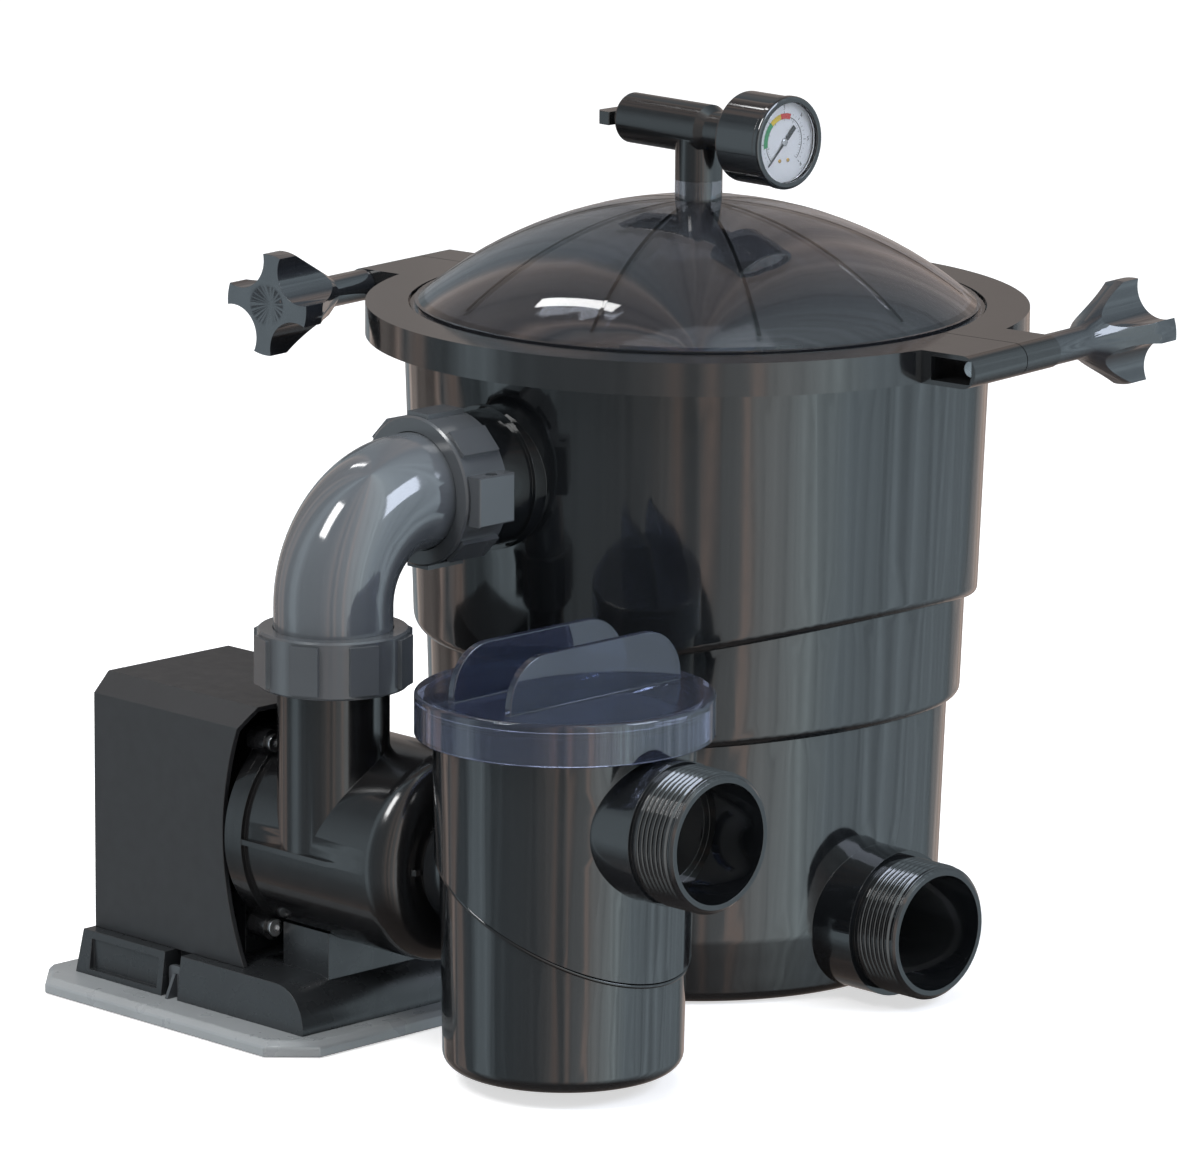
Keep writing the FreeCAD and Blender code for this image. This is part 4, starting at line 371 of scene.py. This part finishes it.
@dataclass
class PortThread:
    """Outer thread on an open port, a closed sleeve just over the stub."""

    name: str
    centre: tuple[float, float, float]
    root_mm: float = 33.4
    depth_mm: float = 1.35
    pitch_mm: float = 3.0
    length_mm: float = 23.5
    clear_mm: float = 1.6
    flank: float = 3.9
    crest: float = 1.25
    lift_mm: float = 0.06
    sink_mm: float = 0.4
    columns: int = 144
    rows: int = 150

    def build(self) -> bpy.types.Object:
        """Radius = root + depth * tooth(place / pitch - turn), faded out at both ends.

        Returns:
            The thread, a tube along X that ends behind the port's face.
        """
        columns, count = self.columns, self.rows + 2
        turn = np.linspace(0, 1, columns, endpoint=False)
        place = np.linspace(0, self.length_mm, self.rows)
        grid_place, grid_turn = np.meshgrid(place, turn, indexing="ij")
        phase = (grid_place / self.pitch_mm - grid_turn) % 1.0
        tooth = np.clip(self.crest - np.abs(phase - 0.5) * self.flank, 0.0, 1.0)
        fade = np.clip(np.minimum(grid_place, self.length_mm - grid_place), 0.0, 1.0)
        radius = self.root_mm + self.lift_mm + self.depth_mm * tooth * fade
        inner = np.full((1, columns), self.root_mm - self.sink_mm)
        radius = np.vstack([inner, radius, inner])
        back = self.centre[0] - self.clear_mm - self.length_mm
        along = np.vstack([grid_place[:1], grid_place, grid_place[-1:]]) + back
        angle = np.vstack([grid_turn[:1], grid_turn, grid_turn[-1:]]) * 2 * math.pi
        points = np.stack([along, self.centre[1] + radius * np.cos(angle),
                           self.centre[2] + radius * np.sin(angle)], axis=-1).reshape(-1, 3) * MM
        faces = grid_faces(count, columns).tolist()
        closing = [[column, (count - 1) * columns + column,
                    (count - 1) * columns + (column + 1) % columns, (column + 1) % columns]
                   for column in range(columns)]
        item = mesh_object(self.name, points, faces + closing, TANK_BLACK, "unit")
        return outward(item)


@dataclass
class Tank:
    """Tank body, its lid and seal, the cartridge and the outlet pipe inside."""

    outlet: tuple[float, float, float] = (174.5, 0.0, 39.0)
    rib_turn: float = -32.5
    rib_count: int = 10
    rib_half_mm: float = 1.0
    rib_lift_mm: float = 0.07
    rib_sink_mm: float = 0.4
    sphere_mm: float = 221.65
    middle_mm: float = 171.65

    def ribs(self) -> bpy.types.Object:
        """Painted shade over each rib: dark lines where it meets the dome, height = middle + sqrt(sphere^2 -
        r^2) on two spheres.

        Returns:
            One mesh with a thin curved blade of painted shade over each rib.
        """
        reach = np.linspace(12.5, 135.8, 28)
        count = len(reach)
        rows, faces = [], []
        for number in range(self.rib_count):
            turn = math.radians(self.rib_turn + 360 / self.rib_count * number)
            along = np.array([math.cos(turn), math.sin(turn)])
            beside = np.array([-along[1], along[0]])
            first = number * count * 4
            for side in (-self.rib_half_mm, self.rib_half_mm):
                flat = reach[:, None] * along + side * beside
                for sphere in (self.sphere_mm - self.rib_sink_mm, self.sphere_mm + self.rib_lift_mm):
                    rows.append(np.column_stack([flat, self.middle_mm + np.sqrt(sphere ** 2 - reach ** 2)]))
            step = np.arange(count - 1)
            for one, two in ((0, 1), (1, 3), (3, 2), (2, 0)):
                faces.append(np.column_stack([step + one * count, step + 1 + one * count,
                                              step + 1 + two * count, step + two * count]) + first)
            ends = [[end + k * count for k in (0, 1, 3, 2)] for end in (0, count - 1)]
            faces.append(np.array(ends) + first)
        item = mesh_object("dome_rib_painted_shade", np.vstack(rows) * MM, np.vstack(faces), PAINTED_SHADE_BLACK, "unit",
                           smooth=False)
        return outward(item)

    def build(self) -> None:
        """Builds the skins, the painted shade lines over each rib and the outlet's thread, and dresses what
        lies inside.
        """
        skin_of("tank_shell", TANK_BLACK, "unit", bevel_mm=0.8)
        skin_of("tank_lid", DOME_SMOKE, "unit", bevel_mm=0.0)
        # Painted shade: dark lines over each of the dome's ribs
        self.ribs()
        PortThread("outlet_thread", self.outlet).build()
        for node, finish in (("tank_lid_o_ring", RUBBER), ("cartridge_bottom_cap", CAP_BLUE),
                             ("cartridge_top_cap", CAP_BLUE), ("cartridge_media", MEDIA_WHITE),
                             ("cartridge_core", CORE_WHITE), ("outlet_manifold", CORE_WHITE)):
            dress(node, finish)


class Hand(Enum):
    """Side of the clamp that a knob or bolt is on."""

    RIGHT = "right"
    LEFT = "left"


@dataclass
class Clamp:
    """Clamp ring in two halves with its bolts and winged knobs."""

    def build(self) -> None:
        """Builds skins of the ring and the knobs."""
        for half in ("clamp_front_half", "clamp_rear_half"):
            skin_of(half, CLAMP_BLACK, "unit", bevel_mm=0.7)
        for hand in Hand:
            skin_of(f"clamp_bolt_{hand.value}", STEEL, "unit", bevel_mm=0.3)
            skin_of(f"clamp_knob_{hand.value}", KNOB_BLACK, f"knob_{hand.value}", bevel_mm=1.2, segments=3)


@dataclass
class Gauge:
    """Pressure gauge on its tee, with the printed dial, the needle and the bleed plug."""

    centre: tuple[float, float, float] = (59.05, 0.0, 429.4)
    radius_mm: float = 20.4
    sweep: tuple[float, float] = (-135.0, 135.0)
    bands: list[tuple[float, float, Finish]] = field(default_factory=lambda: [
        (-98.0, -42.0, INK_GREEN), (-42.0, -10.0, INK_YELLOW), (-10.0, 20.0, INK_RED)])

    def place(self, angle_deg: np.ndarray, radius: np.ndarray, lift: float) -> np.ndarray:
        """Points on the dial: sideways = r sin a, up = r cos a, angle clockwise from the top.

        Args:
            angle_deg: clockwise angles in degrees.
            radius: radii in millimetres.
            lift: height over the dial in millimetres.

        Returns:
            Rows of x, y, z in metres.
        """
        angle = np.radians(angle_deg)
        spots = np.stack([np.full_like(angle, self.centre[0] + lift),
                          self.centre[1] + radius * np.sin(angle),
                          self.centre[2] + radius * np.cos(angle)], axis=-1)
        return spots.reshape(-1, 3) * MM

    def ring(self, name: str, start: float, end: float, inner: float, outer: float, finish: Finish,
             lift: float = 0.03) -> bpy.types.Object:
        """A flat printed arc between two angles and two radii.

        Args:
            name: the piece's name.
            start: first angle in degrees.
            end: last angle in degrees.
            inner: inner radius in millimetres.
            outer: outer radius in millimetres.
            finish: its ink.
            lift: height over the dial in millimetres.

        Returns:
            The printed arc.
        """
        angle, radius = np.meshgrid(np.linspace(start, end, 40), np.array([inner, outer]), indexing="ij")
        faces = grid_faces(40, 2, wrap=False)
        points = self.place(angle, radius, lift)
        return mesh_object(name, points, faces[:, ::-1], finish, "unit", smooth=False)

    def ticks(self, name: str, count: int, inner: float, outer: float, width: float) -> bpy.types.Object:
        """Ticks spread evenly over the scale, one quad each.

        Args:
            name: the piece's name.
            count: number of ticks.
            inner: inner radius in millimetres.
            outer: outer radius in millimetres.
            width: width of a tick in millimetres.

        Returns:
            One mesh with all the ticks.
        """
        middle = np.linspace(*self.sweep, count)[:, None]
        radius = np.tile(np.array([inner, outer, outer, inner]), (count, 1))
        half = np.degrees(width / 2 / radius) * np.array([-1, -1, 1, 1])
        points = self.place(middle + half, radius, 0.05)
        return mesh_object(name, points, np.arange(count * 4).reshape(-1, 4)[:, ::-1], INK_BLACK, "unit",
                           smooth=False)

    def numeral(self, text: str, angle_deg: float, radius: float, size: float) -> bpy.types.Object:
        """A generic number printed on the dial, upright and centred on its spot.

        Args:
            text: the number.
            angle_deg: clockwise angle in degrees.
            radius: distance from the hub in millimetres.
            size: height of the letters in millimetres.

        Returns:
            The flat number.
        """
        curve = bpy.data.curves.new("numeral_" + text, "FONT")
        curve.body = text
        curve.size = size * MM
        curve.align_x = "CENTER"
        curve.align_y = "CENTER"
        holder = bpy.data.objects.new("numeral_holder", curve)
        bpy.context.scene.collection.objects.link(holder)
        bpy.context.view_layer.update()
        mesh = bpy.data.meshes.new_from_object(holder)
        bpy.data.objects.remove(holder)
        spot = self.place(np.array([angle_deg]), np.array([radius]), 0.05)[0]
        turn = Matrix(((0, 0, 1, spot[0]), (1, 0, 0, spot[1]), (0, 1, 0, spot[2]), (0, 0, 0, 1)))
        mesh.transform(turn)
        mesh.materials.clear()
        mesh.materials.append(INK_BLACK.make())
        item = bpy.data.objects.new(f"dial_number_{text}", mesh)
        bpy.context.scene.collection.objects.link(item)
        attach(item, "unit")
        return item

    def lathe(self, name: str, profile: Sequence[tuple[float, float]], finish: Finish, body: str,
              sideways: float = 0.0, up: float = 0.0, columns: int = 40) -> bpy.types.Object:
        """A closed profile of (place along X, radius) turned about an axis along X.

        Args:
            name: the piece's name.
            profile: places and radii in millimetres, from axis to axis.
            finish: its surface.
            body: the body that carries it.
            sideways: axis beside the dial's middle in millimetres.
            up: axis above the dial's middle in millimetres.
            columns: points round the axis.

        Returns:
            The turned piece.
        """
        outline = np.array(profile)
        angle = np.linspace(0, 2 * math.pi, columns, endpoint=False)
        along = np.repeat(outline[:, :1], columns, axis=1) + self.centre[0]
        radius = outline[:, 1:]
        points = np.stack([along, self.centre[1] + sideways + radius * np.cos(angle),
                           self.centre[2] + up + radius * np.sin(angle)], axis=-1).reshape(-1, 3) * MM
        return outward(mesh_object(name, points, grid_faces(len(outline), columns), finish, body))

    def needle(self) -> bpy.types.Object:
        """The pointer: half width tapers along its length; it widens again into the tail.

        Returns:
            The needle, which rides on its own body.
        """
        reach = np.array([16.6, 14.0, 4.0, 0.0, -2.4, -2.4, -10.2, -10.2])
        half = np.array([0.12, 0.3, 0.55, 0.7, 0.75, 1.25, 1.25, 1.25])
        rest = math.radians(self.sweep[0])
        ahead = np.array([math.sin(rest), math.cos(rest)])
        beside = np.array([ahead[1], -ahead[0]])
        rows = []
        for lift in (0.45, 0.8):
            for side in (1, -1):
                flat = reach[:, None] * ahead + (half * side)[:, None] * beside
                rows.append(np.column_stack([np.full(len(reach), self.centre[0] + lift),
                                             self.centre[1] + flat[:, 0], self.centre[2] + flat[:, 1]]))
        points = np.vstack(rows) * MM
        count = len(reach)
        step = np.arange(count - 1)
        strips = [(0, 1), (2, 3), (0, 2), (1, 3)]
        faces = [np.column_stack([step + a * count, step + 1 + a * count, step + 1 + b * count,
                                  step + b * count]) for a, b in strips]
        caps = np.array([[end + k * count for k in (0, 1, 3, 2)] for end in (0, count - 1)])
        return outward(mesh_object("needle_skin", points, np.vstack(faces + [caps]), INK_BLACK, "needle",
                                   smooth=False))

    def build(self) -> None:
        """Builds the tee, case, bezel, lens, printed dial, hub, screws and needle."""
        skin_of("gauge_tee", PUMP_BLACK, "unit", bevel_mm=0.8)
        skin_of("air_bleed_plug", CLAMP_BLACK, "bleed_plug", bevel_mm=0.6)
        skin_of("gauge_case", GAUGE_BLACK, "unit", bevel_mm=0.5)
        skin_of("gauge_bezel", GAUGE_BLACK, "unit", bevel_mm=0.6)
        skin_of("gauge_lens", LENS_CLEAR, "unit", bevel_mm=0.0)
        dress("gauge_dial", DIAL_WHITE)
        dress("gauge_movement", BRASS)
        unit = self.radius_mm
        self.ring("dial_scale_line", *self.sweep, unit * 0.62, unit * 0.64, INK_BLACK)
        for number, (start, end, ink) in enumerate(self.bands):
            self.ring(f"dial_band_{number}", start, end, unit * 0.58, unit * 0.72, ink, lift=0.04)
        for name, count, inner, outer, width in (("outer", 31, 0.7, 0.74, 0.18), ("main", 7, 0.7, 0.78, 0.3),
                                                 ("inner", 43, 0.56, 0.6, 0.14),
                                                 ("inner_main", 9, 0.53, 0.6, 0.24)):
            self.ticks(f"dial_ticks_{name}", count, unit * inner, unit * outer, width)
        for number in range(1, 7):
            self.numeral(str(number), self.sweep[0] + 45 * number, unit * 0.86, 3.0)
        hub = [(0.4, 0.0), (0.4, 1.9), (0.95, 1.9), (1.15, 1.5), (1.2, 0.0)]
        self.lathe("needle_hub", hub, STEEL, "needle")
        screw = [(-0.1, 0.0), (-0.1, 1.0), (0.25, 1.0), (0.4, 0.8), (0.42, 0.0)]
        for side in (-3.0, 3.0):
            self.lathe(f"dial_screw_{'left' if side < 0 else 'right'}", screw, BRASS, "unit",
                       sideways=side, up=-9.4, columns=20)
        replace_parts(self.needle(), "gauge_needle")


@dataclass
class Pipework:
    """Elbow between the two unions, with their nuts and seals."""

    def build(self) -> None:
        """Builds the skins of the elbow and nuts."""
        skin_of("union_elbow", PIPE_GREY, "unit", bevel_mm=0.5)
        for place in ("upper", "lower"):
            skin_of(f"{place}_union_nut", NUT_GREY, f"nut_{place}", bevel_mm=0.0)
            dress(f"{place}_union_o_ring", RUBBER)


@dataclass
class Pump:
    """Pump and motor on the foot, under the cover."""

    def build(self) -> None:
        """Builds the outer skins and dresses the running gear."""
        skin_of("pump_volute", PUMP_BLACK, "unit", bevel_mm=0.7)
        skin_of("pump_seal_plate", PUMP_BLACK, "unit", bevel_mm=0.5)
        skin_of("pump_flange_bolts", STEEL, "unit", bevel_mm=0.2)
        skin_of("motor_housing", MOTOR_PAINT, "unit", bevel_mm=0.6)
        skin_of("motor_cover", COVER_GREY, "unit", bevel_mm=0.8)
        skin_of("pump_foot", FOOT_BLACK, "unit", bevel_mm=1.0)
        skin_of("base_plate", BASE_GREY, "unit", bevel_mm=0.8)
        skin_of("base_clip", NUT_GREY, "unit", bevel_mm=0.4)
        for node, finish in (("shaft_seal_seat", SEAL_FACE), ("shaft_seal_head", SEAL_FACE),
                             ("impeller", PUMP_BLACK), ("pump_diffuser", PUMP_BLACK),
                             ("motor_stator", STACK_STEEL), ("motor_winding_rear", COPPER),
                             ("motor_winding_front", COPPER), ("rotor_core", STACK_STEEL),
                             ("motor_bearing_rear", STEEL), ("motor_bearing_front", STEEL),
                             ("motor_shaft", STEEL), ("cooling_fan", CORE_WHITE)):
            dress(node, finish)


@dataclass
class Strainer:
    """Strainer pot with its basket, seal and clear lid."""

    suction: tuple[float, float, float] = (241.2, -228.0, 138.0)
    axis: tuple[float, float] = (135.5, -228.0)
    top_radius_mm: float = 64.4
    top_mm: float = 173.0
    draft: float = 0.01816
    step_turn: float = 12.0
    step_mid_mm: float = 90.0
    step_rise_mm: float = 30.3
    bead_mm: float = 1.15

    def step_line(self) -> bpy.types.Object:
        """Painted shade in the corner under the pot's slanting step: a dark bead along height = middle - rise
        * cos t.

        Returns:
            The dark bead of painted shade, closed round the pot.
        """
        rows, sides = 145, 8
        turn, section = np.meshgrid(np.linspace(0, 2 * math.pi, rows), np.arange(sides) * 2 * math.pi / sides,
                                    indexing="ij")
        height = self.step_mid_mm - self.step_rise_mm * np.cos(turn)
        wall = self.top_radius_mm - self.draft * (self.top_mm - height)
        reach = wall - self.bead_mm + self.bead_mm * np.cos(section)
        way = turn + math.radians(self.step_turn)
        points = np.stack([self.axis[0] + reach * np.cos(way), self.axis[1] + reach * np.sin(way),
                           height - self.bead_mm + self.bead_mm * np.sin(section)], axis=-1)
        return outward(mesh_object("pot_step_painted_shade", points.reshape(-1, 3) * MM, grid_faces(rows, sides),
                                   PAINTED_SHADE_BLACK, "unit"))

    def build(self) -> None:
        """Builds the pot's and lid's skins, the painted shade under its step and the suction port's thread.
        """
        skin_of("strainer_pot", TANK_BLACK, "unit", bevel_mm=0.6)
        skin_of("pot_lid", POT_SMOKE, "lid", bevel_mm=0.5)
        # Painted shade: a dark bead in the corner under the pot's step
        self.step_line()
        PortThread("suction_thread", self.suction).build()
        dress("strainer_basket", CORE_WHITE)
        dress("pot_lid_o_ring", RUBBER)


# Studio


@dataclass(frozen=True)
class Strip:
    """One stop of the room's brightness, seen only in reflections: compass place, level and tint."""

    azimuth: float
    level: float
    tint: str = "#d9ecf6"


@dataclass
class Studio:
    """Floor, sky, lamps and camera."""

    target: tuple[float, float, float] = (-6.2, -63.0, 200.0)
    azimuth: float = 45.0
    elevation: float = 12.5
    roll: float = 0.4
    distance: float = 4.0
    width_mm: float = 613.2
    ground: str = "#6d645f"
    strips: list[Strip] = field(default_factory=lambda: [
        Strip(-180.0, 0.4, "#ecdfd8"), Strip(-161.0, 0.4), Strip(-157.0, 0.8, "#f0ddd2"),
        Strip(-150.0, 0.4, "#ecdfd8"), Strip(-131.0, 0.3, "#ecdfd8"), Strip(-127.0, 1.0, "#ffe6da"),
        Strip(-122.0, 0.3), Strip(-112.0, 0.9, "#ffe6da"), Strip(-107.0, 0.35), Strip(-95.0, 0.5),
        Strip(-87.0, 1.3), Strip(-76.0, 1.3), Strip(-66.0, 0.5), Strip(-24.0, 0.5, "#e6eef2"),
        Strip(-12.0, 0.85, "#f2f0ee"), Strip(-8.0, 1.2, "#ffe6da"), Strip(-4.0, 0.7, "#eaf0f2"),
        Strip(1.0, 0.75, "#eaf0f2"), Strip(4.0, 1.5, "#ffe6da"), Strip(8.0, 0.9, "#eaf0f2"),
        Strip(17.0, 1.4, "#eaf0f2"), Strip(20.0, 2.4, "#ffe6da"), Strip(24.0, 1.8, "#eef2f2"),
        Strip(34.0, 2.3, "#eaf2f4"), Strip(48.0, 2.6, "#e2f2f6"), Strip(63.0, 2.0), Strip(78.0, 1.7),
        Strip(105.0, 1.3), Strip(123.0, 0.8), Strip(141.0, 0.4), Strip(163.0, 0.6, "#f6e0d4"),
        Strip(176.0, 0.4, "#ecdfd8")])

    def sky(self) -> None:
        """White for the camera; in reflections a grey room with tall soft strips.

        The room's brightness is a ramp over the compass angle, measured from the camera's own
        side and lined by a fine noise, and the ground's colour fades in below the horizon.
        """
        world = bpy.data.worlds.new("studio_sky")
        bpy.context.scene.world = world
        world.use_nodes = True
        tree = world.node_tree
        tree.nodes.clear()
        way = add_node(tree, "ShaderNodeTexCoord").outputs["Generated"]
        turned = add_node(tree, "ShaderNodeMapping", {"vector_type": "POINT"}, {
            "Vector": way, "Rotation": (0.0, 0.0, math.radians(self.azimuth))})
        split = add_node(tree, "ShaderNodeSeparateXYZ", links={0: turned.outputs[0]})
        bearing = add_node(tree, "ShaderNodeMath", {"operation": "ARCTAN2"}, {
            0: split.outputs["Y"], 1: split.outputs["X"]})
        share = add_node(tree, "ShaderNodeMapRange", links={
            "Value": bearing.outputs[0], "From Min": -math.pi, "From Max": math.pi})
        stops = [(strip.azimuth / 360 + 0.5, tuple(c * strip.level for c in linear(strip.tint)[:3]) + (1.0,))
                 for strip in self.strips]
        band = ramp(add_node(tree, "ShaderNodeValToRGB", links={"Fac": share.outputs[0]}), stops)
        streaks = add_node(tree, "ShaderNodeTexNoise", {"noise_dimensions": "1D"}, {
            "W": bearing.outputs[0], "Scale": 9.0, "Detail": 5.0, "Roughness": 0.7})
        vary = add_node(tree, "ShaderNodeMapRange", links={
            "Value": streaks.outputs["Fac"], "From Min": 0.3, "From Max": 0.7,
            "To Min": 0.66, "To Max": 1.34})
        lined = add_node(tree, "ShaderNodeVectorMath", {"operation": "SCALE"}, {
            0: band.outputs["Color"], "Scale": vary.outputs[0]})
        height = add_node(tree, "ShaderNodeMapRange", links={
            "Value": split.outputs["Z"], "From Min": -0.75, "From Max": -0.35})
        down = add_node(tree, "ShaderNodeMix", {"data_type": "RGBA"}, {
            "Factor": height.outputs[0], 6: linear(self.ground), 7: lined.outputs[0]})
        rays = add_node(tree, "ShaderNodeLightPath")
        seen = add_node(tree, "ShaderNodeMath", {"operation": "MAXIMUM"}, {
            0: rays.outputs["Is Camera Ray"], 1: rays.outputs["Is Transmission Ray"]})
        mirror = add_node(tree, "ShaderNodeMix", {"data_type": "RGBA"}, {
            "Factor": rays.outputs["Is Glossy Ray"], 6: (0.5, 0.51, 0.53, 1.0), 7: down.outputs[2]})
        final = add_node(tree, "ShaderNodeMix", {"data_type": "RGBA"}, {
            "Factor": seen.outputs[0], 6: mirror.outputs[2], 7: (1.0, 1.0, 1.0, 1.0)})
        sky = add_node(tree, "ShaderNodeBackground", links={"Color": final.outputs[2], "Strength": 1.0})
        add_node(tree, "ShaderNodeOutputWorld", links={"Surface": sky.outputs[0]})

    def floor(self) -> None:
        """A pale floor that the camera sees white, with the object's shadow left on it."""
        side = 6.0
        mesh = bpy.data.meshes.new("floor")
        mesh.from_pydata([(-side, -side, -0.0005), (side, -side, -0.0005), (side, side, -0.0005),
                          (-side, side, -0.0005)], [], [(0, 1, 2, 3)])
        item = bpy.data.objects.new("floor", mesh)
        bpy.context.scene.collection.objects.link(item)
        material = bpy.data.materials.new("matt_white_card")
        material.use_nodes = True
        tree = material.node_tree
        tree.nodes.clear()
        card = add_node(tree, "ShaderNodeBsdfDiffuse", links={"Color": (0.8, 0.8, 0.8, 1.0)})
        glow = add_node(tree, "ShaderNodeEmission", links={"Color": (1.0, 1.0, 1.0, 1.0), "Strength": 0.62})
        rays = add_node(tree, "ShaderNodeLightPath")
        none = add_node(tree, "ShaderNodeEmission", links={"Strength": 0.0})
        lit = add_node(tree, "ShaderNodeMixShader", links={
            0: rays.outputs["Is Camera Ray"], 1: none.outputs[0], 2: glow.outputs[0]})
        both = add_node(tree, "ShaderNodeAddShader", links={0: card.outputs[0], 1: lit.outputs[0]})
        add_node(tree, "ShaderNodeOutputMaterial", links={"Surface": both.outputs[0]})
        mesh.materials.append(material)
        item.visible_glossy = False

    def lamp(self, name: str, azimuth: float, elevation: float, distance: float,
             size: tuple[float, float], power: float, tint: str = "#ffffff",
             mirrored: bool = True) -> None:
        """Adds a rectangular soft lamp that faces the object.

        Args:
            name: the lamp's name.
            azimuth: degrees to the right of the camera, about the target.
            elevation: degrees above the target.
            distance: metres from the target.
            size: width and height in metres.
            power: watts.
            tint: colour of the light.
            mirrored: whether glossy surfaces show the lamp itself.
        """
        light = bpy.data.lights.new(name, "AREA")
        light.shape = "RECTANGLE"
        light.size, light.size_y = size
        light.energy = power
        light.color = linear(tint)[:3]
        item = bpy.data.objects.new(name, light)
        bpy.context.scene.collection.objects.link(item)
        heading = math.radians(azimuth - self.azimuth)
        rise = math.radians(elevation)
        away = Vector((math.cos(rise) * math.cos(heading), math.cos(rise) * math.sin(heading),
                       math.sin(rise)))
        item.location = Vector(self.target) * MM + away * distance
        item.rotation_euler = away.to_track_quat("Z", "Y").to_euler()
        item.visible_glossy = mirrored

    def camera(self) -> None:
        """A long lens at the photograph's angle: width seen = sensor * distance / lens."""
        data = bpy.data.cameras.new("camera")
        data.sensor_width = 36.0
        data.lens = 36.0 * self.distance / (self.width_mm * MM)
        data.clip_end = 50.0
        item = bpy.data.objects.new("camera", data)
        bpy.context.scene.collection.objects.link(item)
        heading = math.radians(-self.azimuth)
        rise = math.radians(self.elevation)
        away = Vector((math.cos(rise) * math.cos(heading), math.cos(rise) * math.sin(heading),
                       math.sin(rise)))
        item.location = Vector(self.target) * MM + away * self.distance
        spin = away.to_track_quat("Z", "Y").to_matrix() @ Matrix.Rotation(math.radians(self.roll), 3, "Z")
        item.rotation_euler = spin.to_euler()
        bpy.context.scene.camera = item

    def build(self) -> None:
        """Sets the view, then adds the camera, sky, floor and lamps."""
        bpy.context.scene.view_settings.view_transform = "Standard"
        self.camera()
        self.sky()
        self.floor()
        self.lamp("key", -50.0, 48.0, 2.2, (0.5, 0.9), 26.0)
        self.lamp("fill", 62.0, 34.0, 2.4, (0.9, 0.9), 24.0, "#e3ecff")
        self.lamp("top", 10.0, 80.0, 2.0, (1.2, 1.2), 16.0, mirrored=False)
        self.lamp("window", -138.0, 61.0, 2.2, (0.1, 0.7), 2.6)


def main() -> None:
    logging.basicConfig(level=logging.INFO, format="%(message)s")
    for part in (Studio(), Tank(), Clamp(), Gauge(), Pipework(), Pump(), Strainer()):
        before = len(bpy.data.objects)
        part.build()
        LOG.info("%s: %d objects", type(part).__name__, len(bpy.data.objects) - before)
    bpy.context.view_layer.update()


if __name__ == "__main__":
    main()
